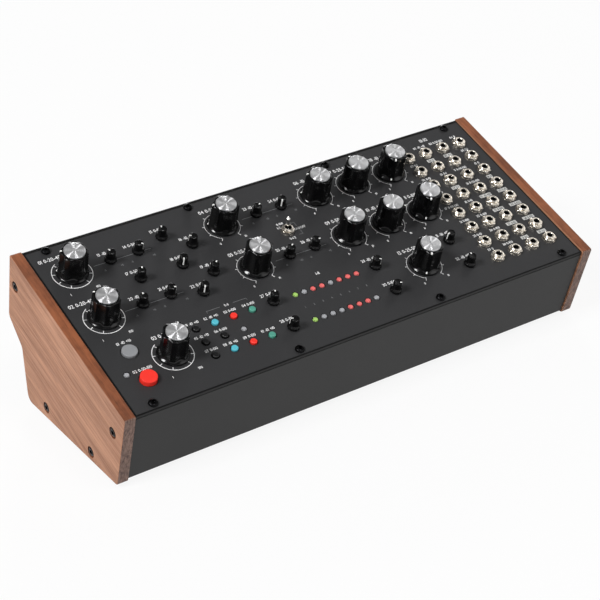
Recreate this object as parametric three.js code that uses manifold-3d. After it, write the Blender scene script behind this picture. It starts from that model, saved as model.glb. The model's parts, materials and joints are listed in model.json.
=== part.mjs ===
// A tabletop analog synthesizer: a folded metal case between two wooden sides, and a sloping front panel
// that carries knobs, trimmer knobs, buttons, a toggle switch, step lights and patch sockets.
// Millimetres, +Z up, the front faces -Y. The origin is on the ground under the middle of the object.
import * as THREE from "three";
import { mergeVertices } from "three/addons/utils/BufferGeometryUtils.js";
import Module from "manifold-3d";

const wasm = await Module();
wasm.setup();

// Driving dimensions of the panel and the case
const panelWidth = 304.8;
const panelDepth = 128.5;
const panelThickness = 2;
const panelTilt = THREE.MathUtils.degToRad(20);
const sheet = 1.2;
const caseHeight = 92.2;
const rearOverhang = 13.7;
const plinthSetback = 0.4;
const frontLean = THREE.MathUtils.degToRad(18.47);
const groundClearance = 2.5;

// Shares of the case's height, from the rear edge of the panel down to two corners of its rear
const overhangDropShare = 0.4534;
const plinthDropShare = 0.6182;

// Clearances
const seatGap = 0.3;
const turningGap = 0.3;
const overrun = 1;
const weldDistance = 1e-4;

// Wooden sides
const woodThickness = 6.8;
const woodReveal = 1.1;
const woodRearReveal = 0.7;
const woodRise = 0.7;
const woodTopCorner = 1.4;
const woodOverhangCorner = 5;
const woodCoveCorner = 6;
const woodHeelCorner = 6;
const woodToeCorner = 2.5;

// Screws of the panel
const screwShank = 1.5;
const screwHead = 2.7;
const screwHeadHeight = 1.5;
const screwEngagement = 5;
const rearScrewInset = 3;
const frontScrewInset = 4.2;

// Screws of the wooden sides
const sideScrewShank = 1.6;
const sideScrewHead = 2.7;
const sideScrewHeadHeight = 1.7;
const sideScrewReach = 3;

// Rails under the long edges of the panel
const railDepth = 6;
const railHeight = 6;
const rearRailInset = 0.9;
const frontRailInset = 1.9;

// Circuit boards
const boardThickness = 1.6;
const controlBoardDrop = 10;
const patchBoardDrop = 12.3;
const boardMargin = 8;
const boardSplitShare = 0.1978;
const boardGap = 2;
const patchBoardMargin = 2.5;
const standoffRadius = 2.5;

// Potentiometers on the control board
const potSide = 9.6;
const potHeight = 7;
const holeSides = 6;

// Large knobs
const knobShaftRadius = 3;
const knobTop = 18;
const knobBase = 0.6;
const knobSkirtRadius = 9.3;
const knobSkirtEdge = 0.9;
const knobSkirtRise = 3.2;
const knobWaistRadius = 8.3;
const knobShoulderRadius = 7.8;
const knobShoulderDrop = 1.1;
const knobCapRadius = 6.2;
const knobRibs = 6;
const knobRibShare = 1 / 3;
const knobSkirtSides = 16;

// Small knobs
const trimShaftRadius = 1.6;
const trimTop = 7.6;
const trimBase = 0.6;
const trimSkirtRadius = 3.7;
const trimSkirtEdge = 1.6;
const trimSkirtRise = 3;
const trimWaistRadius = 2.6;
const trimCapRadius = 2.45;
const trimSides = 8;

// Buttons and the switches under them
const triggerButtonRadius = 4.4;
const triggerButtonRise = 1.4;
const runButtonRadius = 4.75;
const runButtonRise = 2.8;
const largeButtonTravel = 1.2;
const largeButtonSides = 12;
const smallButtonRadius = 2;
const smallButtonRise = 1.2;
const smallButtonTravel = 0.5;
const smallButtonSides = 8;
const buttonFlange = 1.1;
const buttonFlangeHeight = 1.2;
const buttonStemRadius = 1.2;
const buttonCrown = 0.4;
const tactileSide = 6;
const tactileHeight = 2.4;

// Lights
const lightRadius = 1.5;
const lightRise = 0.3;
const stepCount = 8;
const lightSides = 6;

// Patch sockets
const jackColumns = 4;
const jackRows = 8;
const jackBoreRadius = 1.8;
const jackBoreDepth = 12;
const jackNeckRadius = 3;
const jackNutRadius = 4.55;
const jackNutHeight = 2.1;
const jackTop = 3.3;
const jackSide = 9;
const jackBoreSides = 6;

// Toggle switch
const toggleBodyWidth = 8;
const toggleBodyLength = 13;
const toggleNeckRadius = 3;
const toggleNeckRise = 3.6;
const toggleNutRadius = 4.2;
const toggleNutHeight = 1.8;
const toggleBoreRadius = 2;
const toggleBoreDepth = 5;
const togglePivot = 1;
const toggleBallRadius = 1.4;
const toggleRodRadius = 0.9;
const toggleTipRadius = 1.5;
const toggleTipRise = 9;
const toggleTipLength = 2.6;
const toggleTail = 2.2;
const toggleLean = THREE.MathUtils.degToRad(12);
const toggleSides = 8;

// Sockets in the rear wall
const rearSocketRiseShare = 0.5114;
const rearSocketSides = 12;
const audioSocketInset = 74.4;
const audioBodySide = 15;
const audioBodyDepth = 17;
const audioNeckRadius = 4.7;
const audioNutRadius = 7;
const audioNutHeight = 2.2;
const audioNeckRise = 1;
const audioBoreRadius = 3.3;
const audioBoreDepth = 15;
const powerSocketInset = 44.4;
const powerBodySide = 11;
const powerBodyDepth = 13;
const powerNeckRadius = 4.2;
const powerNeckRise = 1;
const powerBoreRadius = 2.9;
const powerBoreDepth = 10;
const powerPinRadius = 1;
const powerPinRecess = 1.5;

// Feet
const footRadius = 6;
const footSideInset = 16;
const footEdgeInset = 14;
const footSides = 12;

const screwSides = 8;
const arcSteps = 5;

// Places on the panel: a column is a share of the panel's width from its left edge, and a row is a share of
// its depth from its rear edge. A rest turn is the pointer's angle in degrees, clockwise from the rear.
const knobRowShares = { rear: 0.185, middle: 0.471, front: 0.767 };
const trimRowShares = { rear: 0.1835, middle: 0.4705, upper: 0.6855, lower: 0.8483 };
const largeKnobs = [
  { name: "oscillator_pitch_knob", columnShare: 0.0597, rowShare: knobRowShares.rear, restTurn: -65 },
  { name: "modulator_pitch_knob", columnShare: 0.0597, rowShare: knobRowShares.middle, restTurn: -40 },
  { name: "tempo_knob", columnShare: 0.129, rowShare: knobRowShares.front, restTurn: 35 },
  { name: "folder_depth_knob", columnShare: 0.3773, rowShare: knobRowShares.rear, restTurn: -70 },
  { name: "filter_cutoff_knob", columnShare: 0.3773, rowShare: knobRowShares.middle, restTurn: 35 },
  { name: "folder_bias_knob", columnShare: 0.5906, rowShare: knobRowShares.rear, restTurn: -60 },
  { name: "order_blend_knob", columnShare: 0.6818, rowShare: knobRowShares.rear, restTurn: -15 },
  { name: "output_level_knob", columnShare: 0.771, rowShare: knobRowShares.rear, restTurn: -150 },
  { name: "resonance_knob", columnShare: 0.5906, rowShare: knobRowShares.middle, restTurn: 35 },
  { name: "filter_mode_knob", columnShare: 0.6818, rowShare: knobRowShares.middle, restTurn: 135 },
  { name: "drive_knob", columnShare: 0.771, rowShare: knobRowShares.middle, restTurn: -150 },
  { name: "envelope_mix_knob", columnShare: 0.6818, rowShare: knobRowShares.front, restTurn: -150 },
];
const smallKnobs = [
  { name: "pitch_envelope_trimmer", columnShare: 0.1381, rowShare: trimRowShares.rear, restTurn: -20 },
  { name: "pitch_sequence_trimmer", columnShare: 0.1955, rowShare: trimRowShares.rear, restTurn: 130 },
  { name: "oscillator_level_trimmer", columnShare: 0.2543, rowShare: 0.1455, restTurn: 0 },
  { name: "ring_level_trimmer", columnShare: 0.2979, rowShare: 0.239, restTurn: -60 },
  { name: "cross_modulation_trimmer", columnShare: 0.1663, rowShare: 0.3325, restTurn: 30 },
  { name: "modulator_level_trimmer", columnShare: 0.2543, rowShare: 0.3325, restTurn: -150 },
  { name: "noise_level_trimmer", columnShare: 0.2979, rowShare: 0.425, restTurn: 55 },
  { name: "modulator_envelope_trimmer", columnShare: 0.1381, rowShare: trimRowShares.middle, restTurn: 5 },
  { name: "modulator_sequence_trimmer", columnShare: 0.1955, rowShare: trimRowShares.middle, restTurn: 125 },
  { name: "input_level_trimmer", columnShare: 0.2543, rowShare: 0.513, restTurn: -150 },
  { name: "folder_envelope_trimmer", columnShare: 0.4539, rowShare: trimRowShares.rear, restTurn: 65 },
  { name: "folder_sequence_trimmer", columnShare: 0.5101, rowShare: trimRowShares.rear, restTurn: -145 },
  { name: "cutoff_envelope_trimmer", columnShare: 0.4539, rowShare: trimRowShares.middle, restTurn: 45 },
  { name: "cutoff_sequence_trimmer", columnShare: 0.5101, rowShare: trimRowShares.middle, restTurn: 115 },
  { name: "upper_chance_trimmer", columnShare: 0.3599, rowShare: trimRowShares.upper, restTurn: 30 },
  { name: "lower_chance_trimmer", columnShare: 0.3599, rowShare: trimRowShares.lower, restTurn: -60 },
  { name: "upper_range_trimmer", columnShare: 0.5896, rowShare: trimRowShares.upper, restTurn: 140 },
  { name: "lower_range_trimmer", columnShare: 0.5896, rowShare: trimRowShares.lower, restTurn: 128 },
  { name: "upper_decay_trimmer", columnShare: 0.7661, rowShare: trimRowShares.upper, restTurn: -95 },
  { name: "lower_decay_trimmer", columnShare: 0.7661, rowShare: trimRowShares.lower, restTurn: 10 },
];
const largeButtons = [
  {
    name: "trigger_button",
    columnShare: 0.0617,
    rowShare: 0.6833,
    radius: triggerButtonRadius,
    rise: triggerButtonRise,
    color: 0x8e9092,
  },
  {
    name: "run_button",
    columnShare: 0.061,
    rowShare: 0.846,
    radius: runButtonRadius,
    rise: runButtonRise,
    color: 0xe8392c,
  },
];
const buttonColumnShares = [0.1958, 0.2354, 0.275, 0.3146];
const buttonRowShares = [0.6855, 0.767, 0.8483];
const smallButtons = [
  { name: "hold_button", column: 0, row: 0, color: 0x101012 },
  { name: "upper_length_button", column: 1, row: 0, color: 0x39a9cf },
  { name: "upper_flip_button", column: 2, row: 0, color: 0xd8463e },
  { name: "upper_write_button", column: 3, row: 0, color: 0x4e9a45 },
  { name: "reset_button", column: 0, row: 1, color: 0x101012 },
  { name: "chain_button", column: 1, row: 1, color: 0x101012 },
  { name: "advance_button", column: 0, row: 2, color: 0x101012 },
  { name: "lower_length_button", column: 1, row: 2, color: 0x39a9cf },
  { name: "lower_flip_button", column: 2, row: 2, color: 0xd8463e },
  { name: "lower_write_button", column: 3, row: 2, color: 0x4e9a45 },
];
const singleLights = [
  { columnShare: 0.0314, rowShare: 0.7895 },
  { columnShare: 0.2759, rowShare: 0.7661 },
];
const stepRowShares = [0.6852, 0.8471];
const stepStartShare = 0.4088;
const stepPitchShare = 0.0197;
const jackStart = { columnShare: 0.831, rowShare: 0.1436 };
const jackPitchShares = { column: 0.0433, row: 0.1027 };
const togglePlace = { columnShare: 0.4859, rowShare: 0.3331 };
const panelScrewShares = [0.041, 0.3412, 0.6588, 0.959];
const standoffs = [
  { columnShare: 0.098, rowShare: 0.327 },
  { columnShare: 0.727, rowShare: 0.327 },
  { columnShare: 0.105, rowShare: 0.89 },
  { columnShare: 0.722, rowShare: 0.88 },
];

// The screws of a wooden side: shares of the way from its rear end to its front end, and of its height
const sideScrews = [
  { reachShare: 0.1, dropShare: 0.195 },
  { reachShare: 0.277, dropShare: 0.921 },
  { reachShare: 0.887, dropShare: 0.633 },
  { reachShare: 0.67, dropShare: 0.935 },
];

// Worked out from the driving dimensions
const slopeAlong = Math.cos(panelTilt);
const slopeDown = Math.sin(panelTilt);
const halfWidth = panelWidth / 2;
const halfDepth = panelDepth / 2;
const panelUnderside = -panelThickness - seatGap;
const woodFrontDepth = panelDepth + woodReveal;
const woodRearDepth = -seatGap - sheet - woodRearReveal;
const controlBoardTop = -controlBoardDrop;
const patchBoardTop = -patchBoardDrop;
const boardEdge = halfWidth - boardSplitShare * panelWidth;
const overhangDrop = overhangDropShare * caseHeight;
const plinthDrop = plinthDropShare * caseHeight;
const rearSocketRise = rearSocketRiseShare * (caseHeight - plinthDrop);
const audioSocketPlace = halfWidth - audioSocketInset;
const powerSocketPlace = halfWidth - powerSocketInset;

// The side view is drawn with the rear edge of the panel's face at its origin, the rear to the right and up
// as up. This is a point of it, from a distance down the panel's slope and a height over the panel's face.
function onSlope(depth, height) {
  return new THREE.Vector2(-depth * slopeAlong - height * slopeDown, height * slopeAlong - depth * slopeDown);
}

// Corners of a wooden side. The reveal is how far the case stands back from the edge that starts there.
const overhangCorner = new THREE.Vector2(rearOverhang, -overhangDrop);
const coveCorner = new THREE.Vector2(plinthSetback, -plinthDrop);
const heelCorner = new THREE.Vector2(plinthSetback, -caseHeight);
const frontCorner = onSlope(woodFrontDepth, woodRise);
const frontReach = -frontCorner.x - (caseHeight + frontCorner.y) * Math.tan(frontLean);
const toeCorner = new THREE.Vector2(-frontReach, -caseHeight);
const woodCorners = [
  { at: onSlope(woodRearDepth, woodRise), radius: woodTopCorner, reveal: woodRearReveal },
  { at: overhangCorner, radius: woodOverhangCorner, reveal: woodRearReveal },
  { at: coveCorner, radius: woodCoveCorner, reveal: woodRearReveal, cove: true },
  { at: heelCorner, radius: woodHeelCorner, reveal: woodReveal },
  { at: toeCorner, radius: woodToeCorner, reveal: woodReveal },
  { at: frontCorner, radius: woodTopCorner, reveal: woodRise },
];

// The outline of the case, or of its hollow where the depth is the sheet's thickness
function insetCorners(corners, depth) {
  const edges = corners.map(({ at, reveal }, i) => {
    const next = corners[(i + 1) % corners.length].at;
    const along = next.clone().sub(at).normalize();
    const inward = new THREE.Vector2(along.y, -along.x);
    return { along, start: at.clone().addScaledVector(inward, reveal + depth) };
  });
  return corners.map(({ radius, reveal, cove }, i) => {
    const before = edges[(i + edges.length - 1) % edges.length];
    const after = edges[i];
    const between = after.start.clone().sub(before.start);
    const reach = between.cross(after.along) / before.along.cross(after.along);
    const at = before.start.clone().addScaledVector(before.along, reach);
    const inset = reveal + depth;
    return { at, radius: cove ? radius + inset : Math.max(radius - inset, 0) };
  });
}

// A closed shape through the corners, with each corner rounded off
function roundedShape(corners) {
  const points = corners.flatMap(({ at, radius }, i) => {
    if (radius === 0) return [at];
    const before = corners[(i + corners.length - 1) % corners.length].at;
    const after = corners[(i + 1) % corners.length].at;
    const back = before.clone().sub(at).normalize();
    const ahead = after.clone().sub(at).normalize();
    const tangent = radius / Math.tan(Math.acos(back.dot(ahead)) / 2);
    const start = at.clone().addScaledVector(back, tangent);
    const end = at.clone().addScaledVector(ahead, tangent);
    return new THREE.QuadraticBezierCurve(start, at, end).getPoints(arcSteps);
  });
  return new THREE.Shape(points);
}

const woodShape = roundedShape(woodCorners);
const woodBox = new THREE.Box2().setFromPoints(woodShape.getPoints());
const middleShift = -(woodBox.min.x + woodBox.max.x) / 2;
const rearEdgeHeight = groundClearance - woodBox.min.y;

// The scene: a frame for what the side view gives, and one for what the panel carries
const instrument = new THREE.Group();
const sideView = new THREE.Group();
sideView.applyMatrix4(
  new THREE.Matrix4()
    .makeBasis(new THREE.Vector3(0, 1, 0), new THREE.Vector3(0, 0, 1), new THREE.Vector3(1, 0, 0))
    .setPosition(0, middleShift, rearEdgeHeight),
);
instrument.add(sideView);
const panelFace = new THREE.Group();
panelFace.position.set(0, middleShift, rearEdgeHeight);
panelFace.rotation.x = panelTilt;
instrument.add(panelFace);

// Solids and meshes
function solidOf(geometry, matrix = new THREE.Matrix4()) {
  const bare = geometry.clone().applyMatrix4(matrix);
  bare.deleteAttribute("normal");
  bare.deleteAttribute("uv");
  const merged = mergeVertices(bare, weldDistance);
  const triVerts = new Uint32Array(merged.index.array);
  const vertProperties = merged.attributes.position.array;
  return new wasm.Manifold(new wasm.Mesh({ numProp: 3, vertProperties, triVerts }));
}

function geometryOf(solid) {
  const mesh = solid.getMesh();
  const geometry = new THREE.BufferGeometry();
  geometry.setAttribute("position", new THREE.BufferAttribute(mesh.vertProperties, mesh.numProp));
  geometry.setIndex(new THREE.BufferAttribute(mesh.triVerts, 1));
  geometry.computeVertexNormals();
  return geometry;
}

function joined(solid, others) {
  return others.reduce((whole, other) => whole.add(other), solid);
}

function cutBy(solid, tools) {
  return tools.reduce((whole, tool) => whole.subtract(tool), solid);
}

function finish(color, roughness, metalness) {
  return new THREE.MeshStandardMaterial({ color, roughness, metalness });
}

function addMesh(parent, name, geometry, material) {
  const mesh = new THREE.Mesh(geometry, material);
  mesh.name = name;
  parent.add(mesh);
  return mesh;
}

function shifted(x, y, z) {
  return new THREE.Matrix4().makeTranslation(x, y, z);
}

// A body of revolution about Z. The profile lists radius and height from the bottom of the axis to its top.
function turned(profile, sides) {
  const points = profile.map(([radius, height]) => new THREE.Vector2(radius, height));
  return new THREE.LatheGeometry(points, sides).rotateX(Math.PI / 2);
}

function rod(radius, bottom, top, sides) {
  return turned([[0, bottom], [radius, bottom], [radius, top], [0, top]], sides);
}

function block(width, depth, bottom, top) {
  return new THREE.BoxGeometry(width, depth, top - bottom).translate(0, 0, (top + bottom) / 2);
}

function extruded(shape, from, to) {
  return new THREE.ExtrudeGeometry(shape, { depth: to - from, bevelEnabled: false }).translate(0, 0, from);
}

// A rod with a wider head on it, for a screw, or for the hole of one
function headed(shank, head, start, seat, end) {
  const profile = [[0, start], [shank, start], [shank, seat], [head, seat], [head, end], [0, end]];
  return turned(profile, screwSides);
}

// The corner radius of a hole whose flats clear a round piece by the gap
function holeRadius(radius, gap, sides) {
  return (radius + gap) / Math.cos(Math.PI / sides);
}

function polygonPath(x, y, radius, sides) {
  const corners = Array.from({ length: sides }, (_, i) => {
    const turn = (i * 2 * Math.PI) / sides;
    return new THREE.Vector2(x + radius * Math.cos(turn), y + radius * Math.sin(turn));
  });
  return new THREE.Path(corners);
}

// Places on the panel, from its middle across and from its rear edge along
function place({ columnShare, rowShare }) {
  return [columnShare * panelWidth - halfWidth, -rowShare * panelDepth];
}

const knobPlaces = largeKnobs.map(place);
const trimPlaces = smallKnobs.map(place);
const largeButtonPlaces = largeButtons.map(place);
const smallButtonPlaces = smallButtons.map(({ column, row }) =>
  place({ columnShare: buttonColumnShares[column], rowShare: buttonRowShares[row] }),
);

const lightPlaces = singleLights.map(place);
for (const rowShare of stepRowShares) {
  for (let step = 0; step < stepCount; step++) {
    lightPlaces.push(place({ columnShare: stepStartShare + step * stepPitchShare, rowShare }));
  }
}

const jackPlaces = [];
for (let row = 0; row < jackRows; row++) {
  for (let column = 0; column < jackColumns; column++) {
    const columnShare = jackStart.columnShare + column * jackPitchShares.column;
    const rowShare = jackStart.rowShare + row * jackPitchShares.row;
    jackPlaces.push(place({ columnShare, rowShare }));
  }
}

const panelScrewColumns = panelScrewShares.map((share) => share * panelWidth - halfWidth);
const rearScrewRow = -rearScrewInset;
const frontScrewRow = frontScrewInset - panelDepth;

const sideScrewPlaces = sideScrews.map(({ reachShare, dropShare }) => [
  woodBox.max.x - reachShare * (woodBox.max.x - woodBox.min.x),
  -dropShare * caseHeight,
]);

// Case: a folded tray, with the screws of the wooden sides threaded into its end walls
const woodInside = halfWidth + seatGap;
const woodOutside = woodInside + woodThickness;
const sideScrewSeat = woodOutside - sideScrewHeadHeight;

function onBothSides(geometry) {
  return [geometry, geometry.clone().rotateX(Math.PI)];
}

function rearWallHole(across, neckRadius) {
  const radius = holeRadius(neckRadius, seatGap, rearSocketSides);
  const hole = rod(radius, -sheet - overrun, sheet + overrun, rearSocketSides).rotateY(Math.PI / 2);
  return solidOf(hole, shifted(plinthSetback - woodRearReveal, rearSocketRise - caseHeight, across));
}

function makeCase() {
  const outer = roundedShape(insetCorners(woodCorners, 0));
  const inner = roundedShape(insetCorners(woodCorners, sheet));
  const mouth = new THREE.Shape([
    onSlope(-seatGap, woodRise + overrun),
    onSlope(-seatGap, panelUnderside),
    onSlope(woodFrontDepth + overrun, panelUnderside),
    onSlope(woodFrontDepth + overrun, woodRise + overrun),
  ]);
  const shell = cutBy(solidOf(extruded(outer, -halfWidth, halfWidth)), [
    solidOf(extruded(inner, sheet - halfWidth, halfWidth - sheet)),
    solidOf(extruded(mouth, -halfWidth - overrun, halfWidth + overrun)),
    rearWallHole(audioSocketPlace, audioNeckRadius),
    rearWallHole(powerSocketPlace, powerNeckRadius),
  ]);
  const threadEnd = halfWidth - sheet - sideScrewReach;
  const screw = headed(sideScrewShank, sideScrewHead, threadEnd, sideScrewSeat, woodOutside);
  const screws = onBothSides(screw).flatMap((oneSide) =>
    sideScrewPlaces.map(([across, up]) => solidOf(oneSide, shifted(across, up, 0))),
  );
  addMesh(sideView, "case_shell", geometryOf(joined(shell, screws)), finish(0x3c3c3b, 0.62, 0.35));
}

function makeWoodSides() {
  const shank = holeRadius(sideScrewShank, seatGap, screwSides);
  const head = holeRadius(sideScrewHead, seatGap, screwSides);
  const hole = headed(shank, head, woodInside - overrun, sideScrewSeat - seatGap, woodOutside + overrun);
  const [rightHole, leftHole] = onBothSides(hole);
  const sides = [
    ["left_wood_side", extruded(woodShape, -woodOutside, -woodInside), leftHole],
    ["right_wood_side", extruded(woodShape, woodInside, woodOutside), rightHole],
  ];
  for (const [name, blank, screwHole] of sides) {
    const holes = sideScrewPlaces.map(([across, up]) => solidOf(screwHole, shifted(across, up, 0)));
    addMesh(sideView, name, geometryOf(cutBy(solidOf(blank), holes)), finish(0xb08a70, 0.5, 0));
  }
}

function makeFeet() {
  const height = groundClearance + woodReveal - seatGap;
  const across = halfWidth - footSideInset;
  const rear = middleShift + plinthSetback - footEdgeInset;
  const front = middleShift - frontReach + footEdgeInset;
  const places = [
    ["rear_left_foot", -across, rear],
    ["rear_right_foot", across, rear],
    ["front_left_foot", -across, front],
    ["front_right_foot", across, front],
  ];
  const geometry = geometryOf(solidOf(rod(footRadius, 0, height, footSides)));
  for (const [name, x, y] of places) {
    const foot = addMesh(instrument, name, geometry, finish(0x161616, 0.9, 0));
    foot.position.set(x, y, 0);
  }
}

// Panel, and the rails that its screws are threaded into
function makePanel() {
  const face = new THREE.Shape([
    new THREE.Vector2(-halfWidth, 0),
    new THREE.Vector2(-halfWidth, -panelDepth),
    new THREE.Vector2(halfWidth, -panelDepth),
    new THREE.Vector2(halfWidth, 0),
  ]);
  function cutHoles(places, radius, gap, sides) {
    const cornerRadius = holeRadius(radius, gap, sides);
    for (const [x, y] of places) face.holes.push(polygonPath(x, y, cornerRadius, sides));
  }
  cutHoles(knobPlaces, knobShaftRadius, turningGap, holeSides);
  cutHoles(trimPlaces, trimShaftRadius, turningGap, holeSides);
  cutHoles(jackPlaces, jackNeckRadius, seatGap, holeSides);
  cutHoles(lightPlaces, lightRadius, seatGap, lightSides);
  largeButtons.forEach(({ radius }, i) => {
    cutHoles([largeButtonPlaces[i]], radius, turningGap, largeButtonSides);
  });
  cutHoles(smallButtonPlaces, smallButtonRadius, turningGap, smallButtonSides);
  cutHoles([place(togglePlace)], toggleNeckRadius, seatGap, toggleSides);
  for (const row of [rearScrewRow, frontScrewRow]) {
    cutHoles(panelScrewColumns.map((column) => [column, row]), screwShank, seatGap, holeSides);
  }
  addMesh(panelFace, "front_panel", extruded(face, -panelThickness, 0), finish(0x3c3c3e, 0.55, 0.2));
}

function makeRail(name, middle, screwRow) {
  const length = panelWidth - 2 * (sheet + seatGap);
  const bar = block(length, railDepth, panelUnderside - railHeight, panelUnderside);
  const screwEnd = panelUnderside - screwEngagement;
  const screw = headed(screwShank, screwHead, screwEnd, seatGap, seatGap + screwHeadHeight);
  const screws = panelScrewColumns.map((column) => solidOf(screw, shifted(column, screwRow, 0)));
  const rail = joined(solidOf(bar, shifted(0, middle, 0)), screws);
  addMesh(panelFace, name, geometryOf(rail), finish(0x2a2a2a, 0.4, 0.8));
}

// Circuit boards, with what is soldered to them
function boardPlate(left, right, top) {
  const plate = block(right - left, panelDepth - 2 * boardMargin, top - boardThickness, top);
  return solidOf(plate, shifted((right + left) / 2, -halfDepth, 0));
}

function potentiometer(shaftRadius) {
  const half = potSide / 2;
  const face = new THREE.Shape([
    new THREE.Vector2(-half, -half),
    new THREE.Vector2(half, -half),
    new THREE.Vector2(half, half),
    new THREE.Vector2(-half, half),
  ]);
  face.holes.push(polygonPath(0, 0, holeRadius(shaftRadius, turningGap, holeSides), holeSides));
  return extruded(face, controlBoardTop - boardThickness / 2, controlBoardTop + potHeight);
}

function makeControlBoard() {
  const root = controlBoardTop - boardThickness / 2;
  const switchTop = controlBoardTop + tactileHeight;
  const kinds = [
    [potentiometer(knobShaftRadius), knobPlaces],
    [potentiometer(trimShaftRadius), trimPlaces],
    [rod(lightRadius, root, lightRise, lightSides), lightPlaces],
    [block(tactileSide, tactileSide, root, switchTop), [...largeButtonPlaces, ...smallButtonPlaces]],
    [rod(standoffRadius, root, panelUnderside, holeSides), standoffs.map(place)],
  ];
  const fitted = kinds.flatMap(([geometry, places]) =>
    places.map(([x, y]) => solidOf(geometry, shifted(x, y, 0))),
  );
  const plate = boardPlate(boardMargin - halfWidth, boardEdge, controlBoardTop);
  addMesh(panelFace, "control_board", geometryOf(joined(plate, fitted)), finish(0x1f4a35, 0.6, 0.1));
}

// A threaded neck from under the panel or the rear wall, with the nut that holds it
function neckWithNut(neckRadius, nutRadius, bottom, nutTop, top, sides) {
  return turned(
    [
      [0, bottom],
      [neckRadius, bottom],
      [neckRadius, seatGap],
      [nutRadius, seatGap],
      [nutRadius, nutTop],
      [neckRadius, nutTop],
      [neckRadius, top],
      [0, top],
    ],
    sides,
  );
}

function makePatchBoard() {
  const body = block(jackSide, jackSide, patchBoardTop - boardThickness / 2, panelUnderside);
  const neckBase = panelUnderside - overrun;
  const nutTop = seatGap + jackNutHeight;
  const neck = neckWithNut(jackNeckRadius, jackNutRadius, neckBase, nutTop, jackTop, holeSides);
  const bore = rod(jackBoreRadius, jackTop - jackBoreDepth, jackTop + overrun, jackBoreSides);
  const jack = geometryOf(solidOf(body).add(solidOf(neck)).subtract(solidOf(bore)));
  const jacks = jackPlaces.map(([x, y]) => solidOf(jack, shifted(x, y, 0)));
  const plate = boardPlate(boardEdge + boardGap, halfWidth - sheet - patchBoardMargin, patchBoardTop);
  addMesh(panelFace, "patch_board", geometryOf(joined(plate, jacks)), finish(0xc9c4b4, 0.25, 0.9));
}

// Knobs, each with the shaft that turns with it. The body of a large one has ribs, with two corners to a
// rib and a flat between two ribs, and a rib stands at its pointer.
function ribbed(profile) {
  const body = turned(profile, 2 * knobRibs).rotateZ(Math.PI / 2 / knobRibs);
  const squeeze = (Math.PI / knobRibs) * (1 / 2 - knobRibShare);
  const corners = body.attributes.position;
  for (let i = 0; i < corners.count; i++) {
    const radius = Math.hypot(corners.getX(i), corners.getY(i));
    const turn = Math.atan2(corners.getY(i), corners.getX(i));
    const closer = turn - squeeze * Math.sin(knobRibs * turn);
    corners.setXY(i, radius * Math.cos(closer), radius * Math.sin(closer));
  }
  return body.rotateZ(Math.PI / knobRibs);
}

function largeKnobGeometry() {
  const waist = knobBase + knobSkirtRise;
  const shoulder = knobTop - knobShoulderDrop;
  const shaft = rod(knobShaftRadius, controlBoardTop + seatGap, waist, holeSides);
  const skirt = turned(
    [
      [0, knobBase],
      [knobSkirtRadius, knobBase],
      [knobSkirtRadius, knobBase + knobSkirtEdge],
      [knobWaistRadius, waist],
      [0, waist],
    ],
    knobSkirtSides,
  );
  const body = ribbed([
    [0, waist - overrun],
    [knobWaistRadius, waist - overrun],
    [knobShoulderRadius, shoulder],
    [knobCapRadius, knobTop],
    [0, knobTop],
  ]);
  return geometryOf(joined(solidOf(shaft), [solidOf(skirt), solidOf(body)]));
}

function smallKnobGeometry() {
  const knob = turned(
    [
      [0, controlBoardTop + seatGap],
      [trimShaftRadius, controlBoardTop + seatGap],
      [trimShaftRadius, trimBase],
      [trimSkirtRadius, trimBase],
      [trimSkirtRadius, trimBase + trimSkirtEdge],
      [trimWaistRadius, trimBase + trimSkirtRise],
      [trimCapRadius, trimTop],
      [0, trimTop],
    ],
    trimSides,
  );
  return geometryOf(solidOf(knob));
}

function makeKnobs(knobs, geometry, color, roughness) {
  for (const knob of knobs) {
    const mesh = addMesh(panelFace, knob.name, geometry, finish(color, roughness, 0));
    mesh.position.set(...place(knob), 0);
    mesh.rotation.z = THREE.MathUtils.degToRad(-knob.restTurn);
  }
}

// Buttons, held under the panel by a flange, each with a stem over its switch
function buttonGeometry(radius, rise, travel, sides) {
  const stemEnd = controlBoardTop + tactileHeight + travel + seatGap;
  const flangeBottom = panelUnderside - buttonFlangeHeight;
  const button = turned(
    [
      [0, stemEnd],
      [buttonStemRadius, stemEnd],
      [buttonStemRadius, flangeBottom],
      [radius + buttonFlange, flangeBottom],
      [radius + buttonFlange, panelUnderside],
      [radius, panelUnderside],
      [radius, rise - buttonCrown],
      [radius - buttonCrown, rise],
      [0, rise],
    ],
    sides,
  );
  return geometryOf(solidOf(button));
}

function addButton({ name, color }, at, geometry) {
  const mesh = addMesh(panelFace, name, geometry, finish(color, 0.5, 0));
  mesh.position.set(...at, 0);
}

function makeButtons() {
  largeButtons.forEach((button, i) => {
    const geometry = buttonGeometry(button.radius, button.rise, largeButtonTravel, largeButtonSides);
    addButton(button, largeButtonPlaces[i], geometry);
  });
  const geometry = buttonGeometry(smallButtonRadius, smallButtonRise, smallButtonTravel, smallButtonSides);
  smallButtons.forEach((button, i) => addButton(button, smallButtonPlaces[i], geometry));
}

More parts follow.
